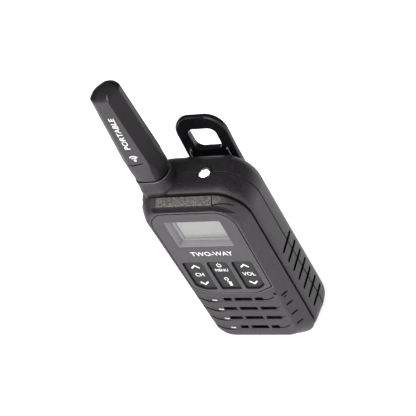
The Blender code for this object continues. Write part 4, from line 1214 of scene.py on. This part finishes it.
def refine_sides(ring):
    """Split the long sides where the lever starts to lean, so that the arm below stays flat."""
    points = []
    for here, after in zip(ring, ring[1:] + ring[:1]):
        points.append(here)
        if abs(here[2] - after[2]) > 20.0:
            share = (PIN.z - here[2]) / (after[2] - here[2])
            flat_y = here[1] if here[2] < PIN.z else after[1]
            points.append((here[0] + (after[0] - here[0]) * share, flat_y, PIN.z))
    return points


def build_bracket_screws():
    for node in ("bracket_screw_left", "bracket_screw_right"):
        low, high = node_box(node)
        centre = (node_centre(node).x, node_centre(node).z)
        levels = ((low.y, 0.8), (high.y - 1.0, 0.8), (high.y - 1.0, 2.0), (high.y - 0.55, 2.0))
        levels += ((high.y - 0.2, 1.65), (high.y, 1.0))
        screw = stack(node + "_head", "Y", [(circle(radius, centre, 32), y) for y, radius in levels])
        cross = [(1.1, 0.22, 0.1, centre), (0.22, 1.1, 0.1, centre)]
        combine(screw, bars("Y", cross, high.y - 0.6, high.y + CUT, 2))
        dress(screw, "steel", "radio", node, 0.04, 1)


# ---------------------------------------------------------------- stage
AZIMUTH = 41.35
ELEVATION = 39.2
ROLL = 31.3
DISTANCE = 0.963
AIM_RIGHT, AIM_UP = 0.01034, 0.0030
LENS = 173.1


def build_camera():
    azimuth, elevation, roll = (math.radians(value) for value in (AZIMUTH, ELEVATION, ROLL))
    back = Vector((math.sin(azimuth) * math.cos(elevation), -math.cos(azimuth) * math.cos(elevation),
                   math.sin(elevation)))
    level = Vector((math.cos(azimuth), math.sin(azimuth), 0.0))
    upright = back.cross(level)
    right = level * math.cos(roll) - upright * math.sin(roll)
    up = level * math.sin(roll) + upright * math.cos(roll)
    aim = Vector((0.0, FACE_Y, PANEL_TOP)) * MM + right * AIM_RIGHT + up * AIM_UP
    data = bpy.data.cameras.new("camera")
    data.sensor_width = 36.0
    data.lens = LENS
    data.clip_start = 0.02
    camera = linked("camera", data)
    turn = Matrix((right, up, back)).transposed().to_4x4()
    camera.matrix_world = Matrix.Translation(aim + back * DISTANCE) @ turn
    bpy.context.scene.camera = camera


def area_light(name, where, size, power):
    """A soft square light aimed at the middle of the radio."""
    data = bpy.data.lights.new(name, "AREA")
    data.energy = power
    data.size = size
    lamp = linked(name, data)
    lamp.location = where
    lamp.rotation_euler = (Vector((0.0, 0.0, 0.06)) - Vector(where)).to_track_quat("-Z", "Y").to_euler()


def build_stage():
    floor = prism("floor", "Z", rectangle(4000, -4000, 4000), -10.0, -0.05)
    finish = Finish("floor_paper", (0.79, 0.79, 0.79), 0.9, Emission_Color=(1.0, 1.0, 1.0, 1.0),
                    Emission_Strength=0.78)
    fibres = finish.remap(finish.noise(3.0, 3.0), 0.3, 0.7)
    finish.surface(Base_Color=finish.blend(fibres, (0.77, 0.77, 0.77), (0.8, 0.8, 0.8)))
    floor.data.materials.append(finish.material)
    world = bpy.data.worlds.new("studio")
    bpy.context.scene.world = world
    world.use_nodes = True
    sky = world.node_tree.nodes["Background"]
    sky.inputs["Color"].default_value = (1.0, 1.0, 1.0, 1.0)
    sky.inputs["Strength"].default_value = 0.12
    area_light("overhead", (-0.2, -0.9, 1.8), 2.0, 28.0)
    area_light("front", (-0.5, -2.0, 0.95), 2.4, 58.0)
    area_light("right", (2.2, -0.9, 1.1), 2.2, 26.0)
    bpy.context.scene.view_settings.view_transform = "Standard"


finish_carried_nodes()
build_front_shell()
build_grille_glints()
build_crown_insert()
build_rear_shell()
build_seam()
build_inlay()
build_display()
build_keys()
build_torch()
build_antenna()
build_talk_button()
build_port_flap()
build_battery_cover()
build_latch()
build_clip()
build_clip_pad()
build_bracket_screws()
build_camera()
build_stage()
